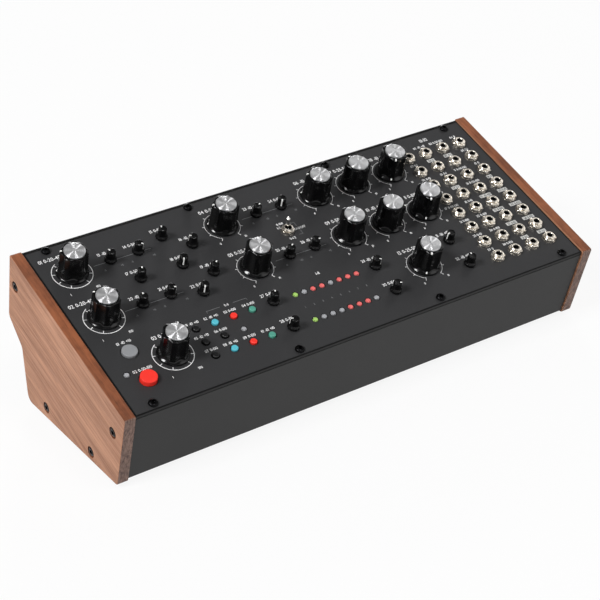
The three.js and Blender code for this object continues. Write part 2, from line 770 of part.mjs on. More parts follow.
// Toggle switch: a body under the panel with a threaded neck, and a lever that leans to the rear
function makeToggle() {
  const body = block(toggleBodyWidth, toggleBodyLength, controlBoardTop + seatGap, panelUnderside);
  const neckBase = panelUnderside - overrun;
  const nutTop = seatGap + toggleNutHeight;
  const neck = neckWithNut(toggleNeckRadius, toggleNutRadius, neckBase, nutTop, toggleNeckRise, toggleSides);
  const bore = rod(toggleBoreRadius, togglePivot - toggleBoreDepth, toggleNeckRise + overrun, toggleSides);
  const fixed = solidOf(body).add(solidOf(neck)).subtract(solidOf(bore));
  const switchBody = addMesh(panelFace, "toggle_switch_body", geometryOf(fixed), finish(0xb9b6ac, 0.3, 0.9));
  switchBody.position.set(...place(togglePlace), 0);

  const leverSolid = solidOf(turned(
    [
      [0, -toggleTail],
      [toggleRodRadius, -toggleTail],
      [toggleBallRadius, 0],
      [toggleRodRadius, toggleBallRadius],
      [toggleTipRadius, toggleTipRise - toggleTipLength / 2],
      [toggleRodRadius, toggleTipRise],
      [0, toggleTipRise],
    ],
    toggleSides,
  ));
  const lever = addMesh(panelFace, "toggle_lever", geometryOf(leverSolid), finish(0xd8d6cf, 0.2, 1));
  lever.position.set(...place(togglePlace), togglePivot);
  lever.rotation.x = -toggleLean;
}

// Sockets in the rear wall, drawn along Z with the wall's outer face at zero
function addRearSocket(name, solid, across, material) {
  const socket = addMesh(instrument, name, geometryOf(solid), material);
  const wall = middleShift + plinthSetback - woodRearReveal;
  socket.rotation.x = -Math.PI / 2;
  socket.position.set(across, wall, groundClearance + rearSocketRise);
}

function makeRearSockets() {
  const bodyTop = -sheet - seatGap;
  const neckBase = bodyTop - overrun;
  const nutTop = seatGap + audioNutHeight;
  const audioTop = nutTop + audioNeckRise;
  const audioBody = block(audioBodySide, audioBodySide, bodyTop - audioBodyDepth, bodyTop);
  const audioNeck = neckWithNut(audioNeckRadius, audioNutRadius, neckBase, nutTop, audioTop, rearSocketSides);
  const audioBore = rod(audioBoreRadius, -audioBoreDepth, audioTop + overrun, rearSocketSides);
  const audio = solidOf(audioBody).add(solidOf(audioNeck)).subtract(solidOf(audioBore));
  addRearSocket("audio_output_socket", audio, audioSocketPlace, finish(0xb9b6ac, 0.3, 0.9));

  const powerBody = block(powerBodySide, powerBodySide, bodyTop - powerBodyDepth, bodyTop);
  const powerNeck = rod(powerNeckRadius, neckBase, powerNeckRise, rearSocketSides);
  const powerBore = rod(powerBoreRadius, -powerBoreDepth, powerNeckRise + overrun, rearSocketSides);
  const powerPin = rod(powerPinRadius, -powerBoreDepth - overrun, powerNeckRise - powerPinRecess, holeSides);
  const powerShell = solidOf(powerBody).add(solidOf(powerNeck)).subtract(solidOf(powerBore));
  const power = powerShell.add(solidOf(powerPin));
  addRearSocket("power_inlet", power, powerSocketPlace, finish(0x121212, 0.5, 0.1));
}

makeCase();
makeWoodSides();
makeFeet();
makePanel();
makeRail("rear_rail", -rearRailInset - railDepth / 2, rearScrewRow);
makeRail("front_rail", frontRailInset + railDepth / 2 - panelDepth, frontScrewRow);
makeControlBoard();
makePatchBoard();
makeKnobs(largeKnobs, largeKnobGeometry(), 0x0b0b0c, 0.22);
makeKnobs(smallKnobs, smallKnobGeometry(), 0x0c0c0d, 0.4);
makeButtons();
makeToggle();
makeRearSockets();

export default instrument;
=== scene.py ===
"""A tabletop analog synthesizer: a sloping panel of knobs, buttons, lights and patch sockets in a folded case
between two wooden sides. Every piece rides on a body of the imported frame. Sketches are in millimetres."""

import json
import logging
import math
from dataclasses import dataclass, field
from enum import Enum
from typing import Any, Callable, Iterable, NamedTuple, Sequence

import bmesh
import bpy
from mathutils import Euler, Matrix, Vector


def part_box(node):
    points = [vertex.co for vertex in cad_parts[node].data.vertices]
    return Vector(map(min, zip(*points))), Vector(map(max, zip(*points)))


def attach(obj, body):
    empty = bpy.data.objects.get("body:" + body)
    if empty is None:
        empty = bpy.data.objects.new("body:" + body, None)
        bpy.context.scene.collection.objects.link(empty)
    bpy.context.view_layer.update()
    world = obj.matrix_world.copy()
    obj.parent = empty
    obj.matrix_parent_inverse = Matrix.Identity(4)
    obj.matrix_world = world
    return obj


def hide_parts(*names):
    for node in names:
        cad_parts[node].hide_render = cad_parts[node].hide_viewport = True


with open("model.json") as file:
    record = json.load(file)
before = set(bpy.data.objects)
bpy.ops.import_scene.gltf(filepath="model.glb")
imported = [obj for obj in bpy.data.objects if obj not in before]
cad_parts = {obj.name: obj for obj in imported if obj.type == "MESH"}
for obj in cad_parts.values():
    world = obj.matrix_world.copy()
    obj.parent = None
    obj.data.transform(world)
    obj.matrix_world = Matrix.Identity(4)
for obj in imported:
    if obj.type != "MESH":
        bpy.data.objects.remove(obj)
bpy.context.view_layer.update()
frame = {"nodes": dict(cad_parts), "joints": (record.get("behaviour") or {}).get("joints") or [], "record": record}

LOG = logging.getLogger("synthesizer")
MM = 0.001
TILT = math.radians(20.0)
CHASSIS = "chassis"
Color = tuple[float, float, float]
Point = tuple[float, float]
Form = Callable[[float], float]


class Slot(Enum):
    """The material slots that the pieces take their finishes from."""

    CASE = "case_paint"
    PANEL = "panel_paint"
    WOOD = "side_wood"
    STEEL = "black_steel"
    BOARD = "circuit_board"
    NICKEL = "socket_nickel"
    CHROME = "lever_chrome"
    INLET = "inlet_plastic"
    RUBBER = "foot_rubber"
    KNOB = "knob_plastic"
    TRIMMER = "trimmer_plastic"
    GREY = "button_grey"
    RED = "button_red"
    BLACK = "button_black"
    BLUE = "button_blue"
    GREEN = "button_green"


class Scale(Enum):
    """The two kinds of scale printed round a large knob."""

    RING = "an open ring with inner ticks"
    TICKS = "separate outer ticks"


def linear(color: Color) -> tuple[float, float, float, float]:
    """Turns a display colour into scene-linear values.

    Args:
        color: red, green and blue from 0 to 1, as on a display.

    Returns:
        The linear colour with full alpha.
    """
    red, green, blue = (c / 12.92 if c <= 0.04045 else ((c + 0.055) / 1.055) ** 2.4 for c in color)
    return red, green, blue, 1.0


class ShaderSketch:
    """Adds nodes to one node tree and links them."""

    def __init__(self, tree: bpy.types.NodeTree) -> None:
        """Takes the tree that the nodes go into."""
        self.tree = tree

    def surface(self, values: dict[str, Any]) -> None:
        """Sets inputs of the material's Principled shader."""
        self.fill(self.tree.nodes["Principled BSDF"], values)

    def add(self, kind: str, settings: dict[str, Any] | None = None, values: dict[Any, Any] | None = None) -> Any:
        """Adds a node.

        Args:
            kind: the node's type name.
            settings: properties of the node.
            values: a number, colour or output socket for each named or numbered input.

        Returns:
            The new node.
        """
        node = self.tree.nodes.new(kind)
        for name, value in (settings or {}).items():
            setattr(node, name, value)
        self.fill(node, values or {})
        return node

    def fill(self, node: Any, values: dict[Any, Any]) -> None:
        """Sets a node's inputs.

        Args:
            node: the node.
            values: a number, colour or output socket for each named or numbered input.
        """
        for key, value in values.items():
            if isinstance(value, bpy.types.NodeSocket):
                self.tree.links.new(value, node.inputs[key])
            else:
                node.inputs[key].default_value = value

    def math(self, operation: str, first: Any, second: Any = 0.0, clamp: bool = False) -> Any:
        """Adds a Math node.

        Args:
            operation: the sum it does.
            first: its first value or socket.
            second: its second value or socket.
            clamp: whether the result is kept from 0 to 1.

        Returns:
            The node's output socket.
        """
        node = self.add("ShaderNodeMath", {"operation": operation, "use_clamp": clamp}, {0: first, 1: second})
        return node.outputs[0]

    def mix(self, factor: Any, first: Any, second: Any, blend: str = "MIX") -> Any:
        """Adds a colour mix.

        Args:
            factor: how much of the second colour shows.
            first: the first colour or socket.
            second: the second colour or socket.
            blend: how the two are mixed.

        Returns:
            The mixed colour's socket.
        """
        settings = {"data_type": "RGBA", "blend_type": blend}
        return self.add("ShaderNodeMix", settings, {0: factor, 6: first, 7: second}).outputs[2]

    def ramp(self, value: Any, low: float, high: float, start: float = 0.0, end: float = 1.0) -> Any:
        """Maps a value's range to another, kept within it.

        Args:
            value: the socket to map.
            low: the value that gives start.
            high: the value that gives end.
            start: the result at low.
            end: the result at high.

        Returns:
            The mapped value's socket.
        """
        return self.add("ShaderNodeMapRange", None, {0: value, 1: low, 2: high, 3: start, 4: end}).outputs[0]

    def millimetres(
        self, stretch: tuple[float, float, float] = (1.0, 1.0, 1.0), tip: float = 0.0, turn: float = 0.0
    ) -> Any:
        """Gives the object's own coordinates in millimetres.

        Args:
            stretch: a factor for each axis, after the tip and turn.
            tip: a turn about the X axis, in radians.
            turn: a turn about the Z axis, in radians.

        Returns:
            The coordinates' socket.
        """
        place = self.add("ShaderNodeTexCoord").outputs["Object"]
        turned = self.add("ShaderNodeMapping", None, {"Vector": place, "Rotation": (tip, 0.0, turn)}).outputs[0]
        factors = tuple(s / MM for s in stretch)
        return self.add("ShaderNodeVectorMath", {"operation": "MULTIPLY"}, {0: turned, 1: factors}).outputs[0]

    def effect(self, group: bpy.types.NodeTree, values: dict[str, Any]) -> Any:
        """Places a shader node group.

        Args:
            group: the group.
            values: a number, colour or output socket for each named input.

        Returns:
            The socket of the group's one output.
        """
        return self.add("ShaderNodeGroup", {"node_tree": group}, values).outputs[0]

    def noise(self, place: Any, scale: Any, detail: float = 3.0, rough: float = 0.5) -> Any:
        """Adds a noise texture.

        Args:
            place: the coordinates' socket.
            scale: how many features there are to a unit.
            detail: how many octaves it has.
            rough: how strong the finer octaves are.

        Returns:
            The noise's value socket, from 0 to 1.
        """
        values = {"Vector": place, "Scale": scale, "Detail": detail, "Roughness": rough}
        return self.add("ShaderNodeTexNoise", None, values).outputs[0]


def shader_group(name: str, inputs: dict[str, str], outputs: dict[str, str]) -> tuple[ShaderSketch, Any, Any]:
    """Starts a shader node group.

    Args:
        name: the group's name.
        inputs: a socket type for each input's name.
        outputs: a socket type for each output's name.

    Returns:
        A sketch of the group's tree, its input node and its output node.
    """
    tree = bpy.data.node_groups.new(name, "ShaderNodeTree")
    for socket, kind in inputs.items():
        tree.interface.new_socket(name=socket, in_out="INPUT", socket_type=kind)
    for socket, kind in outputs.items():
        tree.interface.new_socket(name=socket, in_out="OUTPUT", socket_type=kind)
    sketch = ShaderSketch(tree)
    return sketch, sketch.add("NodeGroupInput"), sketch.add("NodeGroupOutput")


NUMBER = "NodeSocketFloat"
TINT = "NodeSocketColor"
DUST_GREY = (0.62, 0.61, 0.59)
BOARD_GREEN = (0.12, 0.29, 0.21)


def make_tone_group() -> bpy.types.NodeTree:
    """Builds the effect of a colour that is never quite even."""
    inputs = {"Color": TINT, "Patch": NUMBER, "Amount": NUMBER}
    sketch, given, result = shader_group("uneven_tone", inputs, {"Color": TINT})
    cloud = sketch.noise(sketch.millimetres(), sketch.math("DIVIDE", 1.0, given.outputs["Patch"]), 4.0)
    around = sketch.math("MULTIPLY", sketch.math("SUBTRACT", cloud, 0.5), given.outputs["Amount"])
    level = sketch.math("ADD", around, 1.0)
    shade = sketch.add("ShaderNodeCombineColor", None, {0: level, 1: level, 2: level}).outputs[0]
    sketch.fill(result, {"Color": sketch.mix(1.0, given.outputs["Color"], shade, "MULTIPLY")})
    return sketch.tree


def make_grain_group() -> bpy.types.NodeTree:
    """Builds the height of a fine grain, such as a moulding's or a paint's."""
    inputs = {"Size": NUMBER, "Depth": NUMBER}
    sketch, given, result = shader_group("fine_grain", inputs, {"Height": NUMBER})
    place = sketch.millimetres()
    fine = sketch.noise(place, sketch.math("DIVIDE", 1.0, given.outputs["Size"]), 2.0)
    broad = sketch.noise(place, sketch.math("DIVIDE", 0.2, given.outputs["Size"]), 2.0)
    both = sketch.math("ADD", fine, sketch.math("MULTIPLY", broad, 0.6))
    sketch.fill(result, {"Height": sketch.math("MULTIPLY", both, given.outputs["Depth"])})
    return sketch.tree


def make_handling_group() -> bpy.types.NodeTree:
    """Builds the uneven gloss that hands and wiping leave."""
    inputs = {"Roughness": NUMBER, "Patch": NUMBER, "Amount": NUMBER}
    sketch, given, result = shader_group("handled_gloss", inputs, {"Roughness": NUMBER})
    place = sketch.millimetres()
    smear = sketch.noise(place, sketch.math("DIVIDE", 1.0, given.outputs["Patch"]), 5.0, 0.6)
    shift = sketch.math("MULTIPLY", sketch.math("SUBTRACT", smear, 0.5), given.outputs["Amount"])
    sketch.fill(result, {"Roughness": sketch.math("ADD", given.outputs["Roughness"], shift, True)})
    return sketch.tree


def make_dust_group() -> bpy.types.NodeTree:
    """Builds a mask of the faint dust on faces that look up."""
    inputs = {"Amount": NUMBER, "Speck": NUMBER}
    sketch, given, result = shader_group("settled_dust", inputs, {"Mask": NUMBER})
    normal = sketch.add("ShaderNodeNewGeometry").outputs["Normal"]
    up = sketch.add("ShaderNodeSeparateXYZ", None, {0: normal}).outputs[2]
    specks = sketch.noise(sketch.millimetres(), sketch.math("DIVIDE", 1.0, given.outputs["Speck"]), 3.0, 0.7)
    lying = sketch.math("MULTIPLY", sketch.ramp(up, 0.3, 1.0), sketch.ramp(specks, 0.5, 0.72))
    sketch.fill(result, {"Mask": sketch.math("MULTIPLY", lying, given.outputs["Amount"], True)})
    return sketch.tree


TONE = make_tone_group()
GRAIN = make_grain_group()
HANDLING = make_handling_group()
DUST = make_dust_group()


@dataclass(frozen=True)
class Finish:
    """A surface finish. Its kinds differ in how they dress the shader."""

    name: str
    color: Color
    roughness: float = 0.5

    def material(self) -> bpy.types.Material:
        """Gives the finish's material, built the first time it is asked for."""
        known = bpy.data.materials.get(self.name)
        if known:
            return known
        material = bpy.data.materials.new(self.name)
        material.use_nodes = True
        self.dress(ShaderSketch(material.node_tree))
        return material

    def dress(self, sketch: ShaderSketch) -> None:
        """Sets the even colour and gloss.

        Args:
            sketch: the material's tree.
        """
        sketch.surface({"Base Color": linear(self.color), "Roughness": self.roughness})

    def tone(self, sketch: ShaderSketch, color: Any, patch: float, amount: float) -> Any:
        """Gives the base colour an uneven tone.

        Args:
            sketch: the material's tree.
            color: the colour or its socket.
            patch: the size of a patch in millimetres.
            amount: how far the tone varies.

        Returns:
            The toned colour's socket.
        """
        toned = sketch.effect(TONE, {"Color": color, "Patch": patch, "Amount": amount})
        sketch.surface({"Base Color": toned})
        return toned

    def gloss(self, sketch: ShaderSketch, patch: float, amount: float) -> None:
        """Gives the roughness the marks of handling.

        Args:
            sketch: the material's tree.
            patch: the size of a smear in millimetres.
            amount: how far the roughness varies.
        """
        values = {"Roughness": self.roughness, "Patch": patch, "Amount": amount}
        sketch.surface({"Roughness": sketch.effect(HANDLING, values)})

    def bump(self, sketch: ShaderSketch, height: Any, depth: float) -> None:
        """Gives the surface a relief.

        Args:
            sketch: the material's tree.
            height: the relief's socket, from 0 to 1.
            depth: the relief's depth in millimetres.
        """
        values = {"Height": height, "Strength": 1.0, "Distance": depth * MM}
        raised = sketch.add("ShaderNodeBump", None, values).outputs["Normal"]
        sketch.surface({"Normal": raised})

    def grain(self, sketch: ShaderSketch, size: float, depth: float) -> None:
        """Gives the surface a fine even grain.

        Args:
            sketch: the material's tree.
            size: the size of a grain in millimetres.
            depth: its depth in millimetres.
        """
        self.bump(sketch, sketch.effect(GRAIN, {"Size": size, "Depth": 1.0}), depth)


@dataclass(frozen=True)
class Paint(Finish):
    """Baked paint on sheet metal, with its orange-peel grain."""

    grain_size: float = 0.5
    grain_depth: float = 0.02
    sheen: float = 0.5
    unevenness: float = 0.06

    def dress(self, sketch: ShaderSketch) -> None:
        """Sets an uneven satin coat with a trace of dust.

        Args:
            sketch: the material's tree.
        """
        toned = self.tone(sketch, linear(self.color), 38.0, self.unevenness)
        dusty = sketch.mix(sketch.effect(DUST, {"Amount": 0.02, "Speck": 0.7}), toned, linear(DUST_GREY))
        sketch.surface({"Specular IOR Level": self.sheen, "Base Color": dusty})
        self.gloss(sketch, 24.0, 0.5 * self.unevenness)
        self.grain(sketch, self.grain_size, self.grain_depth)


@dataclass(frozen=True)
class Plastic(Finish):
    """Moulded plastic or silicone."""

    grain_size: float = 0.25
    grain_depth: float = 0.004
    tone_amount: float = 0.1
    coat: float = 0.0
    specular: float = 0.5
    coat_roughness: float = 0.06

    def dress(self, sketch: ShaderSketch) -> None:
        """Sets a moulded skin that hands have touched.

        Args:
            sketch: the material's tree.
        """
        values = {"Specular IOR Level": self.specular, "Coat Weight": self.coat, "Coat Roughness": self.coat_roughness}
        sketch.surface(values)
        self.tone(sketch, linear(self.color), 6.0, self.tone_amount)
        self.gloss(sketch, 3.0, 0.12)
        self.grain(sketch, self.grain_size, self.grain_depth)


@dataclass(frozen=True)
class Metal(Finish):
    """Plated or blackened metal, drawn or polished."""

    tone_patch: float = 5.0
    scratch: float = 0.004

    def dress(self, sketch: ShaderSketch) -> None:
        """Sets a plated surface with fine marks.

        Args:
            sketch: the material's tree.
        """
        sketch.surface({"Metallic": 1.0})
        self.tone(sketch, linear(self.color), self.tone_patch, 0.14)
        self.gloss(sketch, 1.5, 0.16)
        self.grain(sketch, 0.12, self.scratch)


@dataclass(frozen=True)
class SpunMetal(Finish):
    """A metal face turned on a lathe, brushed in circles."""

    pitch: float = 0.16
    unevenness: float = 0.03

    def dress(self, sketch: ShaderSketch) -> None:
        """Sets a gloss that runs round the axis and varies from ring to ring.

        Args:
            sketch: the material's tree.
        """
        tangent = sketch.add("ShaderNodeTangent", {"direction_type": "RADIAL", "axis": "Z"}).outputs[0]
        values = {"Metallic": 0.87, "Anisotropic": 1.0, "Anisotropic Rotation": 0.25, "Tangent": tangent}
        sketch.surface(values)
        self.tone(sketch, linear(self.color), 4.0, 0.06)
        flat = sketch.millimetres((1.0, 1.0, 0.0))
        radius = sketch.add("ShaderNodeVectorMath", {"operation": "LENGTH"}, {0: flat}).outputs["Value"]
        along = sketch.add("ShaderNodeCombineXYZ", None, {0: radius}).outputs[0]
        uneven = sketch.noise(along, 1.0 / self.pitch, 3.0, 0.7)
        low, high = self.roughness - self.unevenness, self.roughness + self.unevenness
        sketch.surface({"Roughness": sketch.ramp(uneven, 0.3, 0.7, low, high)})


@dataclass(frozen=True)
class OiledWood(Finish):
    """Oiled wood with a straight grain that runs down the slope, in the side view's axes."""

    dark: Color = (0.49, 0.31, 0.21)
    # The edge colours and the end colours below are partly the grain of the narrow edges and partly painted shade,
    # darker than the face.
    edge: Color = (0.62, 0.37, 0.24)
    edge_dark: Color = (0.36, 0.2, 0.13)
    end: Color = (0.54, 0.43, 0.38)
    end_dark: Color = (0.3, 0.21, 0.18)
    pore: Color = (0.24, 0.14, 0.09)
    slope: float = -TILT

    def dress(self, sketch: ShaderSketch) -> None:
        """Sets broad bands, fine streaks and pores, a warmer, darker colour on the narrow edges and a greyer one on
        those that face the front: partly the edge and end grain, partly painted shade.

        Args:
            sketch: the material's tree.
        """
        bands, streaks, pores, patches = (
            sketch.noise(sketch.millimetres(stretch, turn=self.slope), 1.0, detail, rough)
            for stretch, detail, rough in (
                ((0.012, 0.16, 0.1), 4.0, 0.6), ((0.028, 0.72, 0.5), 5.0, 0.7),
                ((0.11, 2.6, 1.6), 2.0, 0.5), ((0.05, 0.06, 0.06), 3.0, 0.6),
            )
        )
        broad = sketch.math("MULTIPLY", sketch.ramp(bands, 0.36, 0.66), 0.5)
        fine = sketch.math("MULTIPLY", sketch.ramp(streaks, 0.38, 0.66), 0.46)
        depth = sketch.math("ADD", broad, fine, True)
        face = sketch.mix(depth, linear(self.color), linear(self.dark))
        warm = sketch.math("ADD", sketch.math("MULTIPLY", sketch.ramp(patches, 0.4, 0.62), 0.5), fine, True)
        rim = sketch.mix(warm, linear(self.edge), linear(self.edge_dark))
        normal = sketch.add("ShaderNodeNewGeometry").outputs["Normal"]
        axes = sketch.add("ShaderNodeSeparateXYZ", None, {0: normal}).outputs
        upright = sketch.noise(sketch.millimetres((0.9, 0.04, 0.9)), 1.0, 4.0, 0.65)
        end = sketch.mix(sketch.ramp(upright, 0.36, 0.64), linear(self.end), linear(self.end_dark))
        # Painted shade in part: narrow edges that face the front take the darker end colours, the other narrow edges
        # the darker edge colours, the broad sides the face colour.
        narrow = sketch.mix(sketch.ramp(axes[1], -0.75, -0.55), end, rim)
        side = sketch.ramp(sketch.math("ABSOLUTE", axes[0]), 0.45, 0.85)
        colour = sketch.mix(side, narrow, face)
        pore = sketch.math("MULTIPLY", sketch.ramp(pores, 0.62, 0.72), 0.45)
        pored = sketch.mix(pore, colour, linear(self.pore))
        self.tone(sketch, pored, 30.0, 0.16)
        rough = sketch.ramp(streaks, 0.3, 0.7, self.roughness - 0.06, self.roughness + 0.1)
        sketch.surface({"Specular IOR Level": 0.35, "Roughness": rough})
        relief = sketch.math("SUBTRACT", sketch.math("MULTIPLY", streaks, 0.5), pore)
        self.bump(sketch, relief, 0.05)


@dataclass(frozen=True)
class Ink(Finish):
    """Screen-printed ink, slightly thin in places."""

    def dress(self, sketch: ShaderSketch) -> None:
        """Sets the print's uneven cover.

        Args:
            sketch: the material's tree.
        """
        sketch.surface({"Roughness": self.roughness})
        self.tone(sketch, linear(self.color), 1.2, 0.14)
        self.grain(sketch, 0.15, 0.003)


@dataclass(frozen=True)
class Lens(Finish):
    """The lens of a small light, with a glow where it is lit."""

    glow: float = 0.0

    def dress(self, sketch: ShaderSketch) -> None:
        """Sets a frosted lens.

        Args:
            sketch: the material's tree.
        """
        self.tone(sketch, linear(self.color), 0.9, 0.16)
        self.gloss(sketch, 0.8, 0.15)
        self.grain(sketch, 0.2, 0.004)
        sketch.surface({"Emission Color": linear(self.color), "Emission Strength": self.glow})


@dataclass(frozen=True)
class CircuitBoard(Finish):
    """Solder-masked board: green between copper tracks, with dark parts standing on it."""

    track: Color = (0.16, 0.36, 0.25)
    parts: Color = (0.07, 0.075, 0.08)
    slope: float = 0.0
    level: float = 0.0

    def dress(self, sketch: ShaderSketch) -> None:
        """Sets tracks on the board and a dark moulding on what stands on it.

        Args:
            sketch: the material's tree.
        """
        place = sketch.millimetres((1.0, 1.0, 1.0), -self.slope)
        cells = sketch.add("ShaderNodeTexVoronoi", {"distance": "CHEBYCHEV"}, {"Vector": place, "Scale": 0.22})
        track = sketch.ramp(cells.outputs["Distance"], 0.30, 0.34)
        mask = sketch.mix(track, linear(self.color), linear(self.track))
        height = sketch.add("ShaderNodeSeparateXYZ", None, {0: place}).outputs[2]
        level = sketch.math("ABSOLUTE", sketch.math("SUBTRACT", height, self.level))
        standing = sketch.ramp(level, 1.0, 1.4)
        self.tone(sketch, sketch.mix(standing, mask, linear(self.parts)), 9.0, 0.15)
        self.gloss(sketch, 6.0, 0.15)
        self.bump(sketch, track, 0.03)


PANEL_PAINT = Paint("panel_paint_satin", (0.19, 0.19, 0.195), 0.5, 0.35, 0.008, 0.35, 0.03)
# Painted shade: the black on the panel's edges and on a band round its top stands in for the dark gap line round the
# panel.
PANEL_GAP_SHADE = Paint("panel_edge_painted_shade", (0.03, 0.03, 0.032), 0.5, 0.3, 0.006, 0.2)
CASE_PAINT = Paint("case_paint_textured", (0.117, 0.117, 0.117), 0.55, 0.28, 0.03, 0.35)
SIDE_WOOD = OiledWood("side_wood_oiled", (0.745, 0.542, 0.42), 0.5)
BLACK_STEEL = Metal("blackened_steel", (0.15, 0.15, 0.155), 0.36, 4.0, 0.004)
BOLT_BLACK = Metal("black_oxide_bolt", (0.12, 0.12, 0.125), 0.3, 2.0, 0.004)
NICKEL = Metal("warm_nickel", (0.95, 0.92, 0.87), 0.27, 3.0, 0.002)
CHROME = Metal("polished_chrome", (0.9, 0.895, 0.88), 0.1, 3.0, 0.001)
CAP_METAL = SpunMetal("spun_aluminium", (0.95, 0.95, 0.955), 0.34)
KNOB_PLASTIC = Plastic("knob_gloss_black", (0.018, 0.018, 0.02), 0.18, 0.4, 0.002, 0.08, 0.1, 0.32)
TRIMMER_PLASTIC = Plastic("trimmer_satin_black", (0.02, 0.02, 0.022), 0.26, 0.3, 0.003, 0.1, 0.0, 0.3)
SOCKET_BLACK = Plastic("socket_moulding", (0.035, 0.035, 0.038), 0.45)
INLET_BLACK = Plastic("inlet_moulding", (0.07, 0.07, 0.072), 0.42)
POINTER_WHITE = Ink("pointer_white", (0.95, 0.95, 0.94), 0.4)
PRINT_WHITE = Ink("print_white", (0.96, 0.96, 0.96), 0.5)
PRINT_GREY = Ink("print_grey", (0.47, 0.475, 0.48), 0.5)
PRINT_PLATE = Ink("print_plate", (0.8, 0.8, 0.79), 0.5)
PRINT_DARK = Ink("print_dark", (0.16, 0.165, 0.17), 0.5)
PATCH_BOARD = CircuitBoard("patch_board_mask", BOARD_GREEN, 0.4, level=-13.1)
FOOT_RUBBER = Plastic("foot_rubber_black", (0.1, 0.1, 0.1), 0.82, 0.2, 0.02)
LENS_GREY = Lens("lens_unlit", (0.66, 0.665, 0.68), 0.3)
LENS_RED = Lens("lens_red", (0.9, 0.42, 0.41), 0.3, 0.12)
LENS_GREEN = Lens("lens_green", (0.63, 0.79, 0.4), 0.3, 0.12)
BUTTON_FINISHES = {
    Slot.GREY: Plastic("button_grey_silicone", (0.56, 0.567, 0.577), 0.55, 0.2, 0.006),
    Slot.RED: Plastic("button_red_silicone", (0.99, 0.2, 0.15), 0.5, 0.2, 0.005),
    Slot.BLACK: Plastic("button_black_moulding", (0.055, 0.055, 0.06), 0.32, 0.2, 0.003),
    Slot.BLUE: Plastic("button_blue_moulding", (0.34, 0.75, 0.82), 0.38, 0.2, 0.003),
    Slot.GREEN: Plastic("button_green_moulding", (0.32, 0.63, 0.55), 0.38, 0.2, 0.003),
}


class Ring(NamedTuple):
    """One ring of a turned profile, from the bottom of the axis to its top.

    The share says how much of the turned form, such as a hexagon, the ring has. The finish is that of the
    band that follows the ring."""

    radius: float
    height: float
    share: float = 0.0
    finish: int = 0


def circle(turn: float) -> float:
    """Gives a round form at any turn."""
    return 1.0


def hexagon(turn: float) -> float:
    """Gives a hexagon's radius at a turn, as a share of its corner's."""
    return math.cos(math.pi / 6) / math.cos(turn % (math.pi / 3) - math.pi / 6)


def outward(path: Sequence[Point], i: int) -> Vector:
    """Gives the direction to the left of a path at one of its points."""
    before, after = path[max(i - 1, 0)], path[min(i + 1, len(path) - 1)]
    along = Vector((after[0] - before[0], after[1] - before[1])).normalized()
    return Vector((-along.y, along.x))


